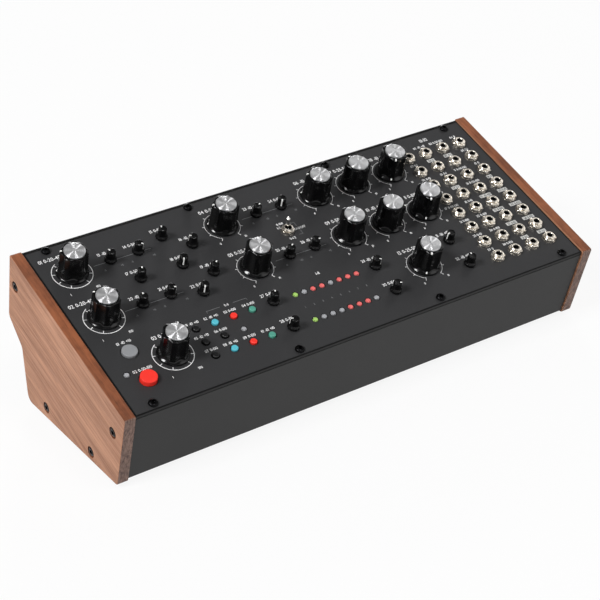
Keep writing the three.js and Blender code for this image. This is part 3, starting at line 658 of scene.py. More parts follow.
class MeshSketch:
    """A mesh in the making, in millimetres."""

    def __init__(self) -> None:
        """Starts with nothing drawn."""
        self.mesh = bmesh.new()

    def ring(self, points: Iterable[Sequence[float]], place: Matrix) -> list[Any]:
        """Adds points and gives their vertices."""
        return [self.mesh.verts.new(place @ Vector(point)) for point in points]

    def face(self, corners: Sequence[Any], finish: int = 0) -> None:
        """Adds one face with a finish."""
        self.mesh.faces.new(corners).material_index = finish

    def bridge(self, low: Sequence[Any], high: Sequence[Any], finish: int = 0) -> None:
        """Joins two rings, either of which may be a single point.

        Args:
            low: the first ring's vertices.
            high: the next ring's vertices.
            finish: the finish of the band between them.
        """
        count = max(len(low), len(high))
        for i in range(count):
            j = (i + 1) % count
            if len(low) == 1:
                self.face((low[0], high[j], high[i]), finish)
            elif len(high) == 1:
                self.face((low[i], low[j], high[0]), finish)
            else:
                self.face((low[i], low[j], high[j], high[i]), finish)

    def turn(self, profile: Sequence[Ring], sides: int, place: Matrix = Matrix(), form: Form = circle) -> None:
        """Adds a body of revolution, or one that follows a form.

        Args:
            profile: its rings, from the bottom of its axis to the top of it.
            sides: how many sides it has.
            place: where it stands.
            form: the radius at a turn, as a share of the ring's radius.
        """
        turns = [i * math.tau / sides for i in range(sides)]
        rings = []
        for ring in profile:
            if ring.radius == 0:
                rings.append(self.ring([(0, 0, ring.height)], place))
                continue
            radii = [ring.radius * (1 + ring.share * (form(turn) - 1)) for turn in turns]
            points = [(r * math.cos(t), r * math.sin(t), ring.height) for r, t in zip(radii, turns)]
            rings.append(self.ring(points, place))
        for ring, low, high in zip(profile, rings, rings[1:]):
            self.bridge(low, high, ring.finish)

    def prism(
        self, outline: Sequence[Point], bottom: float, top: float, place: Matrix = Matrix(), finish: int = 0
    ) -> None:
        """Adds an upright prism.

        Args:
            outline: its corners, anticlockwise from above.
            bottom: the height of its underside.
            top: the height of its top.
            place: where it stands.
            finish: its finish.
        """
        low = self.ring([(x, y, bottom) for x, y in outline], place)
        high = self.ring([(x, y, top) for x, y in outline], place)
        self.face(low[::-1], finish)
        self.face(high, finish)
        self.bridge(low, high, finish)

    def block(self, size: Point, bottom: float, top: float, place: Matrix = Matrix(), finish: int = 0) -> None:
        """Adds a block.

        Args:
            size: its width and depth.
            bottom: the height of its underside.
            top: the height of its top.
            place: where its middle stands.
            finish: its finish.
        """
        x, y = size[0] / 2, size[1] / 2
        self.prism([(-x, -y), (x, -y), (x, y), (-x, y)], bottom, top, place, finish)

    def sweep(self, rows: Sequence[Sequence[Sequence[float]]], finish: int) -> None:
        """Adds a solid that runs through rows of points, closed at both ends.

        Args:
            rows: the points of each row.
            finish: its finish.
        """
        drawn = [self.ring(row, Matrix()) for row in rows]
        for first, second in zip(drawn, drawn[1:]):
            self.bridge(first, second, finish)
        self.face(drawn[0][::-1], finish)
        self.face(drawn[-1], finish)

    def ribbon(self, path: Sequence[Point], width: float, bottom: float, top: float, finish: int = 0) -> None:
        """Adds a flat line of even width.

        Args:
            path: the points it follows.
            width: how wide it is.
            bottom: the height of its underside.
            top: the height of its top.
            finish: its finish.
        """
        asides = [outward(path, i) * width / 2 for i in range(len(path))]
        left = [tuple(Vector(point) + aside) for point, aside in zip(path, asides)]
        right = [tuple(Vector(point) - aside) for point, aside in zip(path, asides)]
        self.prism(right + left[::-1], bottom, top, finish=finish)

    def add(self, mesh: bpy.types.Mesh, place: Matrix, finish: int = 0) -> None:
        """Adds a copy of a finished mesh.

        Args:
            mesh: the mesh to copy.
            place: where the copy goes.
            finish: its finish.
        """
        known, faces = len(self.mesh.verts), len(self.mesh.faces)
        self.mesh.from_mesh(mesh)
        self.mesh.verts.ensure_lookup_table()
        self.mesh.faces.ensure_lookup_table()
        for vertex in self.mesh.verts[known:]:
            vertex.co = place @ vertex.co
        for added in self.mesh.faces[faces:]:
            added.material_index = finish

    def soften(self, radius: float, segments: int = 2, sharper: float = 40.0) -> None:
        """Rounds the sharp edges.

        Args:
            radius: how far the rounding reaches.
            segments: how many faces it has across.
            sharper: the least angle, in degrees, of an edge that is rounded.
        """
        self.mesh.normal_update()
        limit = math.radians(sharper)
        edges = [edge for edge in self.mesh.edges if edge.is_manifold and edge.calc_face_angle() > limit]
        bmesh.ops.bevel(
            self.mesh, geom=edges, offset=radius, segments=segments, profile=0.5, affect="EDGES", clamp_overlap=True
        )

    def finish_mesh(self, name: str, finishes: Sequence[Finish], smooth: float = 38.0) -> bpy.types.Mesh:
        """Turns the sketch into a mesh in metres.

        Args:
            name: the mesh's name.
            finishes: its finishes, in the order of their numbers.
            smooth: the greatest angle, in degrees, that is shaded as one surface.

        Returns:
            The mesh, with its materials.
        """
        bmesh.ops.scale(self.mesh, vec=(MM, MM, MM), verts=self.mesh.verts)
        mesh = bpy.data.meshes.new(name)
        self.mesh.to_mesh(mesh)
        self.mesh.free()
        for finish in finishes:
            mesh.materials.append(finish.material())
        shade(mesh, smooth)
        return mesh


def shade(mesh: bpy.types.Mesh, smooth: float = 38.0) -> None:
    """Shades a mesh smooth, with sharp edges kept.

    Args:
        mesh: the mesh.
        smooth: the greatest angle, in degrees, that is shaded as one surface.
    """
    mesh.shade_smooth()
    mesh.set_sharp_from_angle(angle=math.radians(smooth))


def new_object(name: str, mesh: bpy.types.Mesh, place: Matrix = Matrix()) -> bpy.types.Object:
    """Puts a mesh into the scene.

    Args:
        name: the object's name.
        mesh: its mesh, in metres.
        place: where it stands.

    Returns:
        The new object.
    """
    piece = bpy.data.objects.new(name, mesh)
    bpy.context.scene.collection.objects.link(piece)
    piece.matrix_world = place
    return piece


def settle(piece: bpy.types.Object) -> None:
    """Makes the outcome of a piece's modifiers its own mesh.

    Args:
        piece: the piece.
    """
    bpy.context.view_layer.update()
    result = bpy.data.meshes.new_from_object(piece.evaluated_get(bpy.context.evaluated_depsgraph_get()))
    piece.modifiers.clear()
    piece.data = result


def carve(piece: bpy.types.Object, cutters: Sequence[MeshSketch]) -> None:
    """Cuts solids out of a piece.

    Args:
        piece: the piece.
        cutters: the solids, which don't meet each other within one sketch.
    """
    tools = []
    for cutter in cutters:
        bmesh.ops.recalc_face_normals(cutter.mesh, faces=cutter.mesh.faces)
        tools.append(new_object("cutter", cutter.finish_mesh("cutter", []), piece.matrix_world))
        cut = piece.modifiers.new("cut", "BOOLEAN")
        cut.operation, cut.solver, cut.object = "DIFFERENCE", "EXACT", tools[-1]
    settle(piece)
    for tool in tools:
        bpy.data.objects.remove(tool)


def soften_piece(piece: bpy.types.Object, radius: float, sharper: float) -> None:
    """Rounds a finished piece's sharp edges.

    Args:
        piece: the piece.
        radius: how far the rounding reaches, in millimetres.
        sharper: the least angle, in degrees, of an edge that is rounded.
    """
    sketch = MeshSketch()
    sketch.mesh.from_mesh(piece.data)
    bmesh.ops.remove_doubles(sketch.mesh, verts=sketch.mesh.verts, dist=1e-6)
    sketch.soften(radius * MM, sharper=sharper)
    sketch.mesh.to_mesh(piece.data)
    sketch.mesh.free()
    shade(piece.data)


def at(x: float, y: float, z: float = 0.0, turn: float = 0.0) -> Matrix:
    """Gives a place on the panel, in the panel's millimetres, turned about the upright."""
    return Matrix.Translation((x, y, z)) @ Matrix.Rotation(turn, 4, "Z")


def metres(place: Matrix) -> Matrix:
    """Gives the same place with its distances in metres."""
    scaled = place.copy()
    scaled.translation = place.translation * MM
    return scaled


PANEL_SHEET = 2.0
BODY_TOP = -2.35
PANEL_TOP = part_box("front_panel")[1]
REAR_EDGE = Vector((0.0, PANEL_TOP.y - PANEL_SHEET * MM * math.sin(TILT), PANEL_TOP.z))
PANEL = Matrix.Translation(REAR_EDGE) @ Matrix.Rotation(TILT, 4, "X")
SIDE_VIEW = Matrix.Translation(REAR_EDGE) @ Matrix(((0, 0, 1, 0), (1, 0, 0, 0), (0, 1, 0, 0), (0, 0, 0, 1)))
SLOTS = {part["node"]: part["material_slot"] for part in frame["record"]["subparts"]}
HALF_WIDTH = 152.4
DEPTH = 128.5
HALF_TRAVEL = 150.0
REAR_SOCKET_RISE = 20.5023
AUDIO_ACROSS = 78.0
POWER_ACROSS = 108.0


def spot(u: float, v: float) -> Point:
    """Gives a place on the panel from its distances to the left edge and the rear edge."""
    return u - HALF_WIDTH, -v


def extent(node: str) -> tuple[Vector, Vector]:
    """Gives the lowest and highest corner of a node in the panel's millimetres.

    Args:
        node: the node's name.

    Returns:
        The two corners.
    """
    back = PANEL.inverted()
    points = [back @ vertex.co / MM for vertex in frame["nodes"][node].data.vertices]
    low, high = (Vector(pick(p[i] for p in points) for i in range(3)) for pick in (min, max))
    return low, high


@dataclass(frozen=True)
class Control:
    """A control on the panel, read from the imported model."""

    body: str
    node: str
    x: float
    y: float
    rest: float = 0.0

    @property
    def slot(self) -> Slot:
        """The control's material slot."""
        return Slot(SLOTS[self.node])

    def stand(self, mesh: bpy.types.Mesh) -> bpy.types.Object:
        """Stands a copy of a mesh on the control's place, turned as the control rests.

        Args:
            mesh: the mesh, with its pointer to the rear.

        Returns:
            The control's visible form.
        """
        turned = mesh.copy()
        turned.transform(Matrix.Rotation(-self.rest, 4, "Z"))
        return new_object(self.node + "_form", turned, PANEL @ metres(at(self.x, self.y)))


def read_controls(ending: str) -> list[Control]:
    """Reads the controls whose node names share an ending.

    Args:
        ending: the ending, with its underscore.

    Returns:
        The controls, in the order of the record.
    """
    joints = {joint["child"]: joint for joint in frame["joints"]}
    found = []
    for node in (name for name in SLOTS if name.endswith(ending)):
        body = node[: -len(ending)]
        low, high = extent(node)
        joint = joints[body]
        if joint["type"] == "hinge":
            place = PANEL.inverted() @ Vector(joint["pos_m"]) / MM
            rest = math.radians(joint["range_deg"][0] + HALF_TRAVEL)
            found.append(Control(body, node, place.x, place.y, rest))
        else:
            found.append(Control(body, node, (low.x + high.x) / 2, (low.y + high.y) / 2))
    return found


KNOBS = read_controls("_knob")
TRIMMERS = read_controls("_trimmer")
BUTTONS = read_controls("_button")
BIG_SIZES = {"trigger_button": (4.4, 1.4), "run_button": (4.75, 2.8)}
BIG_BUTTONS = [button for button in BUTTONS if button.node in BIG_SIZES]
SMALL_BUTTONS = [button for button in BUTTONS if button not in BIG_BUTTONS]
TOGGLE = (sum(extent("toggle_switch_body"), Vector()) / 2).xy
STEP_PITCH = 6.0
STEP_COLUMNS = [124.6 + STEP_PITCH * step for step in range(8)]
STEP_ROWS = (88.05, 108.85)
JACK_PITCH = 13.2
JACKS = [(253.3 + JACK_PITCH * column, 18.45 + JACK_PITCH * row) for row in range(8) for column in range(4)]
SOCKET_LABELS = (
    6.0, 9.0, 10.0, 4.5, 5.5, -5.5, -6.0, 5.5, 6.0, 4.5, 9.5, 4.0, 6.0, -6.0, 9.0, -4.0,
    10.5, 6.0, -8.6, -7.0, 6.5, 7.5, -8.0, -8.5, 7.0, 8.0, -7.6, -8.5, 4.5, 7.0, -5.3, -6.3,
)
SCREW_COLUMNS = (12.5, 104.0, 200.8, 292.3)
SCREW_ROWS = {"rear_rail": 3.0, "front_rail": 124.3}


class Assembly:
    """What all the sub-assemblies share: how a piece is finished off and put on its body."""

    def form(
        self, sketch: MeshSketch, name: str, finishes: Sequence[Finish], slot: Slot, *nodes: str,
        place: Matrix = PANEL, smooth: float = 38.0, body: str = CHASSIS,
    ) -> None:
        """Makes a piece of a sketch and puts it on its body.

        Args:
            sketch: the sketch.
            name: the piece's name.
            finishes: its finishes, in the order of their numbers.
            slot: the material slot, handed on to seat.
            nodes: the solids that it stands for.
            place: where it stands.
            smooth: the greatest angle, in degrees, that is shaded as one surface.
            body: the body it rides on.
        """
        self.seat(new_object(name, sketch.finish_mesh(name, finishes, smooth), place), slot, *nodes, body=body)

    def seat(self, piece: bpy.types.Object, slot: Slot, *nodes: str, body: str = CHASSIS) -> None:
        """Puts a finished piece on its body.

        Args:
            piece: the piece, in place.
            slot: not used.
            nodes: the solids that it stands for.
            body: the body it rides on.
        """
        piece.modifiers.new("even_shading", "WEIGHTED_NORMAL").keep_sharp = True
        settle(piece)
        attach(piece, body)
        if nodes:
            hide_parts(*nodes)
        LOG.info("%s rides on %s: %d faces", piece.name, body, len(piece.data.polygons))


@dataclass
class LargeKnob(Assembly):
    """A glossy black knob with ribs, a skirt and a spun metal cap."""

    shaft_radius: float = 3.0
    shaft_end: float = -9.7
    base: float = 0.6
    skirt_radius: float = 9.3
    waist_radius: float = 8.3
    shoulder_radius: float = 7.8
    shoulder: float = 16.9
    cap_radius: float = 5.95
    top: float = 18.0
    ribs: int = 6
    rib_half_angle: float = math.radians(10.0)
    flute_depth: float = 0.95
    mark_lift: float = 0.05
    sides: int = 108

    def fluting(self, turn: float) -> float:
        """Gives the body's radius at a turn, as a share of the rib's.

        Args:
            turn: the angle from the pointer's rib, in radians.

        Returns:
            1 on a rib, and less in a flute.
        """
        pitch = math.tau / self.ribs
        away = abs((turn - math.pi / 2 + pitch / 2) % pitch - pitch / 2)
        if away <= self.rib_half_angle + 1e-6:
            return 1.0
        share = (pitch / 2 - away) / (pitch / 2 - self.rib_half_angle)
        return 1 - self.flute_depth / self.waist_radius * (1 - share * share)

    def profile(self) -> list[Ring]:
        """Lists the knob's rings, from the end of the shaft to the middle of the cap."""
        skirt, shoulder, high = self.skirt_radius, self.shoulder_radius, self.shoulder + 0.05
        rings = [
            Ring(0, self.shaft_end), Ring(self.shaft_radius - 0.2, self.shaft_end),
            Ring(self.shaft_radius, self.shaft_end + 0.3), Ring(self.shaft_radius, 0.9),
            Ring(skirt - 0.5, 0.9), Ring(skirt - 0.45, self.base), Ring(skirt - 0.15, self.base),
            Ring(skirt, self.base + 0.15), Ring(skirt, 1.3), Ring(skirt - 0.04, 1.45), Ring(skirt - 0.15, 1.58),
            Ring(9.0, 1.71), Ring(8.76, 1.92, 0.03), Ring(8.56, 2.2, 0.17), Ring(8.43, 2.5, 0.38),
            Ring(8.35, 2.85, 0.63), Ring(8.3, 3.3, 0.84), Ring(8.27, 3.9, 0.96), Ring(8.24, 4.7, 1.0),
            Ring(8.18, 7.2, 1.0), Ring(8.06, 10.4, 1.0), Ring(shoulder + 0.06, high - 0.3, 1.0),
            Ring(shoulder + 0.02, high - 0.14, 1.0), Ring(shoulder - 0.1, high - 0.04, 0.98),
            Ring(shoulder - 0.3, high + 0.06, 0.95), Ring(7.1, 17.1, 0.65), Ring(6.7, 17.16, 0.25), Ring(6.5, 17.18),
            Ring(6.42, 17.18), Ring(6.38, 17.1), Ring(self.cap_radius + 0.04, 17.1, 0, 1),
            Ring(self.cap_radius + 0.04, 17.86, 0, 1), Ring(self.cap_radius - 0.05, 17.96, 0, 1),
        ]
        rings += [Ring((self.cap_radius - 0.15) * share, self.top, 0, 1) for share in (1, 0.8, 0.6, 0.4, 0.2, 0.05, 0)]
        return rings

    def mark(self, sketch: MeshSketch, path: Sequence[Point], width: float, radius: float) -> None:
        """Adds a raised white mark that runs along the knob's profile at the pointer.

        Args:
            sketch: the knob's sketch.
            path: radius and height of the mark's middle line, from its inner to its outer end.
            width: the mark's width.
            radius: how far its ends are rounded, as a share of its width.
        """
        rows = []
        for i, (reach, height) in enumerate(path):
            half = width / 2 * (1.0 if 0 < i < len(path) - 1 else 1 - radius)
            out = outward(path, i) * self.mark_lift
            low = [(-half, reach - out.x, height - out.y), (half, reach - out.x, height - out.y)]
            high = [(half, reach + out.x, height + out.y), (-half, reach + out.x, height + out.y)]
            rows.append(low + high)
        sketch.sweep(rows, 2)

    def build(self) -> bpy.types.Mesh:
        """Makes the mesh that the large knobs share."""
        sketch = MeshSketch()
        sketch.turn(self.profile(), self.sides, form=self.fluting)
        shoulder = [(6.75, 17.15), (7.1, 17.1), (7.5, 17.01), (7.7, 16.92), (7.8, 16.81), (7.85, 16.5), (7.88, 16.1)]
        skirt = [(8.35, 2.85), (8.43, 2.5), (8.56, 2.2), (8.76, 1.92), (9.0, 1.71)]
        self.mark(sketch, shoulder, 1.0, 0.35)
        self.mark(sketch, skirt, 0.9, 0.4)
        bmesh.ops.recalc_face_normals(sketch.mesh, faces=sketch.mesh.faces)
        return sketch.finish_mesh("large_knob", [KNOB_PLASTIC, CAP_METAL, POINTER_WHITE], 26.0)

    def place(self) -> None:
        """Puts a knob on each large control, at the turn it rests at."""
        mesh = self.build()
        for knob in KNOBS:
            self.seat(knob.stand(mesh), Slot.KNOB, knob.node, body=knob.body)


@dataclass
class TrimmerKnob(Assembly):
    """A small black knob with a lobed foot and a white pointer over its edge."""

    shaft_radius: float = 1.6
    shaft_end: float = -9.7
    foot_radius: float = 3.62
    foot_top: float = 2.15
    waist_radius: float = 2.58
    top_radius: float = 2.44
    top: float = 7.6
    lobes: int = 12
    pointer_width: float = 0.75
    pointer_lift: float = 0.035
    sides: int = 72

    def lobing(self, turn: float) -> float:
        """Gives the foot's radius at a turn, as a share of its largest."""
        return 0.955 + 0.045 * math.cos(self.lobes * (turn - math.pi / 2))

    def profile(self) -> list[Ring]:
        """Lists the trimmer's rings, from the end of the shaft to the middle of its top."""
        foot, waist, top = self.foot_radius, self.waist_radius, self.top_radius
        return [
            Ring(0, self.shaft_end), Ring(self.shaft_radius - 0.15, self.shaft_end),
            Ring(self.shaft_radius, self.shaft_end + 0.2), Ring(self.shaft_radius, 0.8),
            Ring(foot - 0.4, 0.8, 1.0), Ring(foot - 0.36, 0.6, 1.0), Ring(foot - 0.1, 0.6, 1.0),
            Ring(foot, 0.72, 1.0), Ring(foot, self.foot_top - 0.35, 1.0), Ring(foot - 0.1, self.foot_top - 0.08, 1.0),
            Ring(foot - 0.32, self.foot_top + 0.1, 0.9), Ring(waist + 0.42, 2.6, 0.5), Ring(waist + 0.16, 3.05, 0.2),
            Ring(waist + 0.03, 3.55), Ring(waist - 0.02, 4.2), Ring((waist + top) / 2, 6.0),
            Ring(top + 0.02, self.top - 0.4), Ring(top - 0.05, self.top - 0.15), Ring(top - 0.18, self.top - 0.03),
            Ring(top - 0.34, self.top), Ring(top - 0.5, self.top - 0.03), Ring(top - 0.75, self.top - 0.16),
            Ring(1.0, self.top - 0.2), Ring(0.4, self.top - 0.21), Ring(0, self.top - 0.21),
        ]

    def build(self) -> bpy.types.Mesh:
        """Makes the mesh that the trimmers share."""
        sketch = MeshSketch()
        sketch.turn(self.profile(), self.sides, form=self.lobing)
        waist, top, high, half = self.waist_radius, self.top_radius, self.top, self.pointer_width / 2
        path = [(1.2, high - 0.17), (top - 0.75, high - 0.14), (top - 0.5, high - 0.03), (top - 0.34, high)]
        path += [(top - 0.18, high - 0.03), (top - 0.05, high - 0.15), (top + 0.02, high - 0.4)]
        path += [((waist + top) / 2, 6.0), (waist - 0.02, 4.2), (waist + 0.03, 3.55), (waist + 0.1, 3.2)]
        rows = []
        for i, (reach, height) in enumerate(path):
            middle, out = Vector((reach, height)), outward(path, i)
            inner, outer = middle - out * 0.3, middle + out * self.pointer_lift
            drop = reach - math.sqrt(max(reach * reach - half * half, 0.0)) if height < high - 0.3 else 0.0
            under = [(-half, inner.x - drop, inner.y), (0, inner.x, inner.y), (half, inner.x - drop, inner.y)]
            over = [(half, outer.x - drop, outer.y), (0, outer.x, outer.y), (-half, outer.x - drop, outer.y)]
            rows.append(under + over)
        sketch.sweep(rows, 1)
        bmesh.ops.recalc_face_normals(sketch.mesh, faces=sketch.mesh.faces)
        return sketch.finish_mesh("trimmer_knob", [TRIMMER_PLASTIC, POINTER_WHITE])

    def place(self) -> None:
        """Puts a trimmer on each small control, at the turn it rests at."""
        mesh = self.build()
        for knob in TRIMMERS:
            self.seat(knob.stand(mesh), Slot.TRIMMER, knob.node, body=knob.body)


@dataclass
class PushButton(Assembly):
    """A round button with a flange under the panel and a stem over its switch."""

    radius: float
    rise: float
    stem_end: float
    crown: float
    dish: float
    sides: int = 64
    stem_radius: float = 1.2
    flange: float = 1.1
    flange_top: float = -2.3
    flange_height: float = 1.2

    def profile(self) -> list[Ring]:
        """Lists the button's rings, from the stem's end to the middle of its top."""
        r, top, low = self.radius, self.rise, self.flange_top - self.flange_height
        rings = [
            Ring(0, self.stem_end), Ring(self.stem_radius, self.stem_end), Ring(self.stem_radius, low),
            Ring(r + self.flange, low), Ring(r + self.flange, self.flange_top), Ring(r, self.flange_top),
        ]
        for step in range(7):
            turn = step / 6 * math.pi / 2
            reach = r - self.crown * (1 - math.cos(turn))
            rings.append(Ring(reach, top - self.crown + self.crown * math.sin(turn)))
        for share in (0.8, 0.6, 0.4, 0.2):
            rings.append(Ring((r - self.crown) * share, top - self.dish * (1 - share * share)))
        return rings + [Ring(0, top - self.dish)]

    def place(self, buttons: Sequence[Control]) -> None:
        """Puts a button on each of these controls.

        Args:
            buttons: the controls.
        """
        for button in buttons:
            sketch = MeshSketch()
            sketch.turn(self.profile(), self.sides)
            self.form(
                sketch, button.node + "_form", [BUTTON_FINISHES[button.slot]], button.slot, button.node,
                place=PANEL @ metres(at(button.x, button.y)), smooth=34.0, body=button.body,
            )


@dataclass
class SocketScrew:
    """A black screw with a rounded head and a hexagonal recess."""

    shank_radius: float
    head_radius: float
    head_height: float
    shank_length: float
    recess_radius: float = 1.25

    def draw(self, sketch: MeshSketch, place: Matrix, finish: int = 0) -> None:
        """Adds the screw, with its head's seat at the place's origin.

        Args:
            sketch: the sketch it goes into.
            place: where it stands.
            finish: its finish.
        """
        r, h, hole = self.head_radius, self.head_height, self.recess_radius
        rings = [
            Ring(0, -self.shank_length), Ring(self.shank_radius, -self.shank_length), Ring(self.shank_radius, 0),
            Ring(r - 0.1, 0), Ring(r, 0.12), Ring(r - 0.02, h * 0.3), Ring(r * 0.93, h * 0.62),
            Ring(r * 0.78, h * 0.87), Ring(r * 0.62, h * 0.985), Ring(hole + 0.12, h), Ring(hole + 0.03, h - 0.04, 0.9),
            Ring(hole, h - 0.12, 1), Ring(hole, h * 0.35, 1), Ring(0, h * 0.28),
        ]
        sketch.turn([ring._replace(finish=finish) for ring in rings], 36, place, hexagon)


@dataclass
class Rails(Assembly):
    """The steel rails under the panel's long edges, with the panel's screws in them."""

    length: float = 301.8
    width: float = 6.0
    bottom: float = -8.3
    top: float = -2.3
    rear_middle: float = -3.9
    screw: SocketScrew = field(default_factory=lambda: SocketScrew(1.5, 2.7, 1.5, 7.6))

    def place(self) -> None:
        """Makes both rails."""
        for order, (node, row) in enumerate(SCREW_ROWS.items()):
            low, high = extent(node)
            sketch = MeshSketch()
            middle = at(0, self.rear_middle if node == "rear_rail" else (low.y + high.y) / 2)
            sketch.block((self.length, self.width), self.bottom, self.top, middle)
            sketch.soften(0.35, 3)
            for column, across in enumerate(SCREW_COLUMNS):
                turn = 0.35 + 0.83 * (column + 4 * order)
                self.screw.draw(sketch, at(*spot(across, row), 0.3, turn), 1)
            self.form(sketch, node + "_form", [BLACK_STEEL, BOLT_BLACK], Slot.STEEL, node)


@dataclass
class FrontPanel(Assembly):
    """The sloping sheet, with round holes for what comes through it."""

    thickness: float = PANEL_SHEET
    edge_radius: float = 0.4
    # How wide the band of painted shade round the top face is.
    rim: float = 0.95
    shaft_hole: float = 3.3
    trimmer_hole: float = 1.9
    small_hole: float = 2.3
    narrow_hole: float = 1.8
    button_gap: float = 0.32
    hole_sides: int = 40

    def holes(self) -> list[tuple[float, float, float]]:
        """Lists the holes as their place and radius."""
        wide, narrow = self.shaft_hole, self.narrow_hole
        found = [(k.x, k.y, wide) for k in KNOBS] + [(k.x, k.y, self.trimmer_hole) for k in TRIMMERS]
        found += [(b.x, b.y, BIG_SIZES[b.node][0] + self.button_gap) for b in BIG_BUTTONS]
        found += [(b.x, b.y, self.small_hole) for b in SMALL_BUTTONS]
        found += [(*spot(u, v), wide) for u, v in JACKS] + [(*spot(u, v), narrow) for u, v, _ in StepLights().spots()]
        found += [(TOGGLE.x, TOGGLE.y, wide)]
        return found + [(*spot(u, v), narrow) for u in SCREW_COLUMNS for v in SCREW_ROWS.values()]

    def place(self) -> None:
        """Makes the sheet, with black painted shade on its edges and on a band round its top, for the dark gap line
        round it.
        """
        sketch = MeshSketch()
        outlines = [[(-HALF_WIDTH, 0), (-HALF_WIDTH, -DEPTH), (HALF_WIDTH, -DEPTH), (HALF_WIDTH, 0)]]
        for x, y, radius in self.holes():
            turns = [i * math.tau / self.hole_sides for i in range(self.hole_sides)]
            outlines.append([(x + radius * math.cos(t), y + radius * math.sin(t)) for t in turns])
        edges = []
        for outline in outlines:
            ring = sketch.ring([(x, y, -self.thickness) for x, y in outline], Matrix())
            edges += [sketch.mesh.edges.new((ring[i], ring[(i + 1) % len(ring)])) for i in range(len(ring))]
        bmesh.ops.triangle_fill(sketch.mesh, edges=edges, use_beauty=True, use_dissolve=False)
        raised = bmesh.ops.extrude_face_region(sketch.mesh, geom=list(sketch.mesh.faces), use_keep_orig=True)
        top = [item for item in raised["geom"] if isinstance(item, bmesh.types.BMVert)]
        bmesh.ops.translate(sketch.mesh, verts=top, vec=(0, 0, self.thickness))
        bmesh.ops.recalc_face_normals(sketch.mesh, faces=sketch.mesh.faces)
        sketch.soften(self.edge_radius)
        sketch.mesh.normal_update()
        # The sheet's sides, its rounded edges, its hole walls and a band round its top face take the second finish:
        # black painted shade for the dark gap line round the panel.
        across, along = HALF_WIDTH - self.rim, DEPTH / 2 - self.rim
        for spread, out in ((across, (1, 0, 0)), (across, (-1, 0, 0)), (along, (0, 1, 0)), (along, (0, -1, 0))):
            place = Vector((0, -DEPTH / 2, 0)) + Vector(out) * spread
            parts = list(sketch.mesh.verts) + list(sketch.mesh.edges) + list(sketch.mesh.faces)
            bmesh.ops.bisect_plane(sketch.mesh, geom=parts, plane_co=place, plane_no=out)
        for face in sketch.mesh.faces:
            middle = face.calc_center_median()
            inside = abs(middle.x) < across and abs(middle.y + DEPTH / 2) < along
            face.material_index = 0 if inside and face.normal.z > 0.98 else 1
        self.form(sketch, "front_panel_form", [PANEL_PAINT, PANEL_GAP_SHADE], Slot.PANEL, "front_panel")


@dataclass
class StepLights(Assembly):
    """The round lights: two rows of steps and two that stand alone."""

    radius: float = 1.56
    rise: float = 0.42
    foot: float = -1.7
    upper: str = "gnrrnrrr"
    lower: str = "gnnnrrrn"
    lone: tuple[Point, ...] = ((84.1, 98.45), (9.57, 101.45))

    def spots(self) -> list[tuple[float, float, int]]:
        """Lists each light's place and the number of its finish."""
        numbers = {"n": 0, "r": 1, "g": 2}
        found = [(u, v, 0) for u, v in self.lone]
        for row, letters in zip(STEP_ROWS, (self.upper, self.lower)):
            found += [(u, row, numbers[letter]) for u, letter in zip(STEP_COLUMNS, letters)]
        return found

    def place(self) -> None:
        """Makes the lenses over the lights."""
        r, rise = self.radius, self.rise
        dome = [Ring(r * math.cos(t), rise - 0.3 + 0.3 * math.sin(t)) for t in (0, 0.25, 0.5, 0.75, 1.0, 1.25, 1.45)]
        rings = [Ring(0, self.foot), Ring(r, self.foot)] + dome + [Ring(0, rise)]
        sketch = MeshSketch()
        for u, v, finish in self.spots():
            sketch.turn([ring._replace(finish=finish) for ring in rings], 32, at(*spot(u, v)))
        self.form(sketch, "step_lights", [LENS_GREY, LENS_RED, LENS_GREEN], Slot.GREY, smooth=50.0)


@dataclass
class PatchBay(Assembly):
    """Thirty-two sockets in four columns, on their own board."""

    bore_radius: float = 1.8
    barrel_radius: float = 3.0
    nut_radius: float = 4.5
    body_side: float = 9.0
    board_top: float = -12.3
    board_thickness: float = 1.6

    def profile(self) -> list[Ring]:
        """Lists a socket's rings: barrel, washer, nut, lip and bore."""
        neck, nut, bore = self.barrel_radius, self.nut_radius, self.bore_radius
        rings = [Ring(0, -11.0), Ring(neck, -11.0), Ring(neck, 0.03), Ring(4.1, 0.03), Ring(4.18, 0.1)]
        rings += [Ring(4.18, 0.24), Ring(4.1, 0.3), Ring(3.7, 0.3), Ring(nut * 0.95, 0.34, 0.5), Ring(nut, 0.55, 1)]
        rings += [Ring(nut, 1.82, 1), Ring(nut * 0.98, 1.92, 0.95), Ring(3.62, 2.44), Ring(3.5, 2.48), Ring(3.3, 2.48)]
        for turn in range(3):
            height = 2.5 + 0.22 * turn
            rings += [Ring(neck - 0.12, height), Ring(neck, height + 0.1)]
        rings += [Ring(neck - 0.05, 3.08), Ring(neck - 0.2, 3.26), Ring(neck - 0.4, 3.3), Ring(2.15, 3.3)]
        rings += [Ring(1.95, 3.24), Ring(bore, 3.05, 0, 1), Ring(bore, -8.6, 0, 1), Ring(0, -8.7)]
        return rings

    def place(self) -> None:
        """Makes the sockets and the board under them."""
        sketch = MeshSketch()
        for number, (u, v) in enumerate(JACKS):
            turn = math.radians((number * 37 + number // 4 * 11) % 60)
            x, y = spot(u, v)
            sketch.turn(self.profile(), 48, at(x, y, 0, turn), hexagon)
            sketch.block((self.body_side, self.body_side), self.board_top + 0.1, BODY_TOP, at(x, y), 1)
        self.form(sketch, "patch_sockets", [NICKEL, SOCKET_BLACK], Slot.NICKEL, "patch_board", smooth=30.0)
        low, high = extent("patch_board")
        board = MeshSketch()
        size = (high.x - low.x, high.y - low.y)
        middle = at((low.x + high.x) / 2, (low.y + high.y) / 2)
        board.block(size, self.board_top - self.board_thickness, self.board_top, middle)
        board.soften(0.15)
        self.form(board, "patch_board_plate", [PATCH_BOARD], Slot.BOARD)


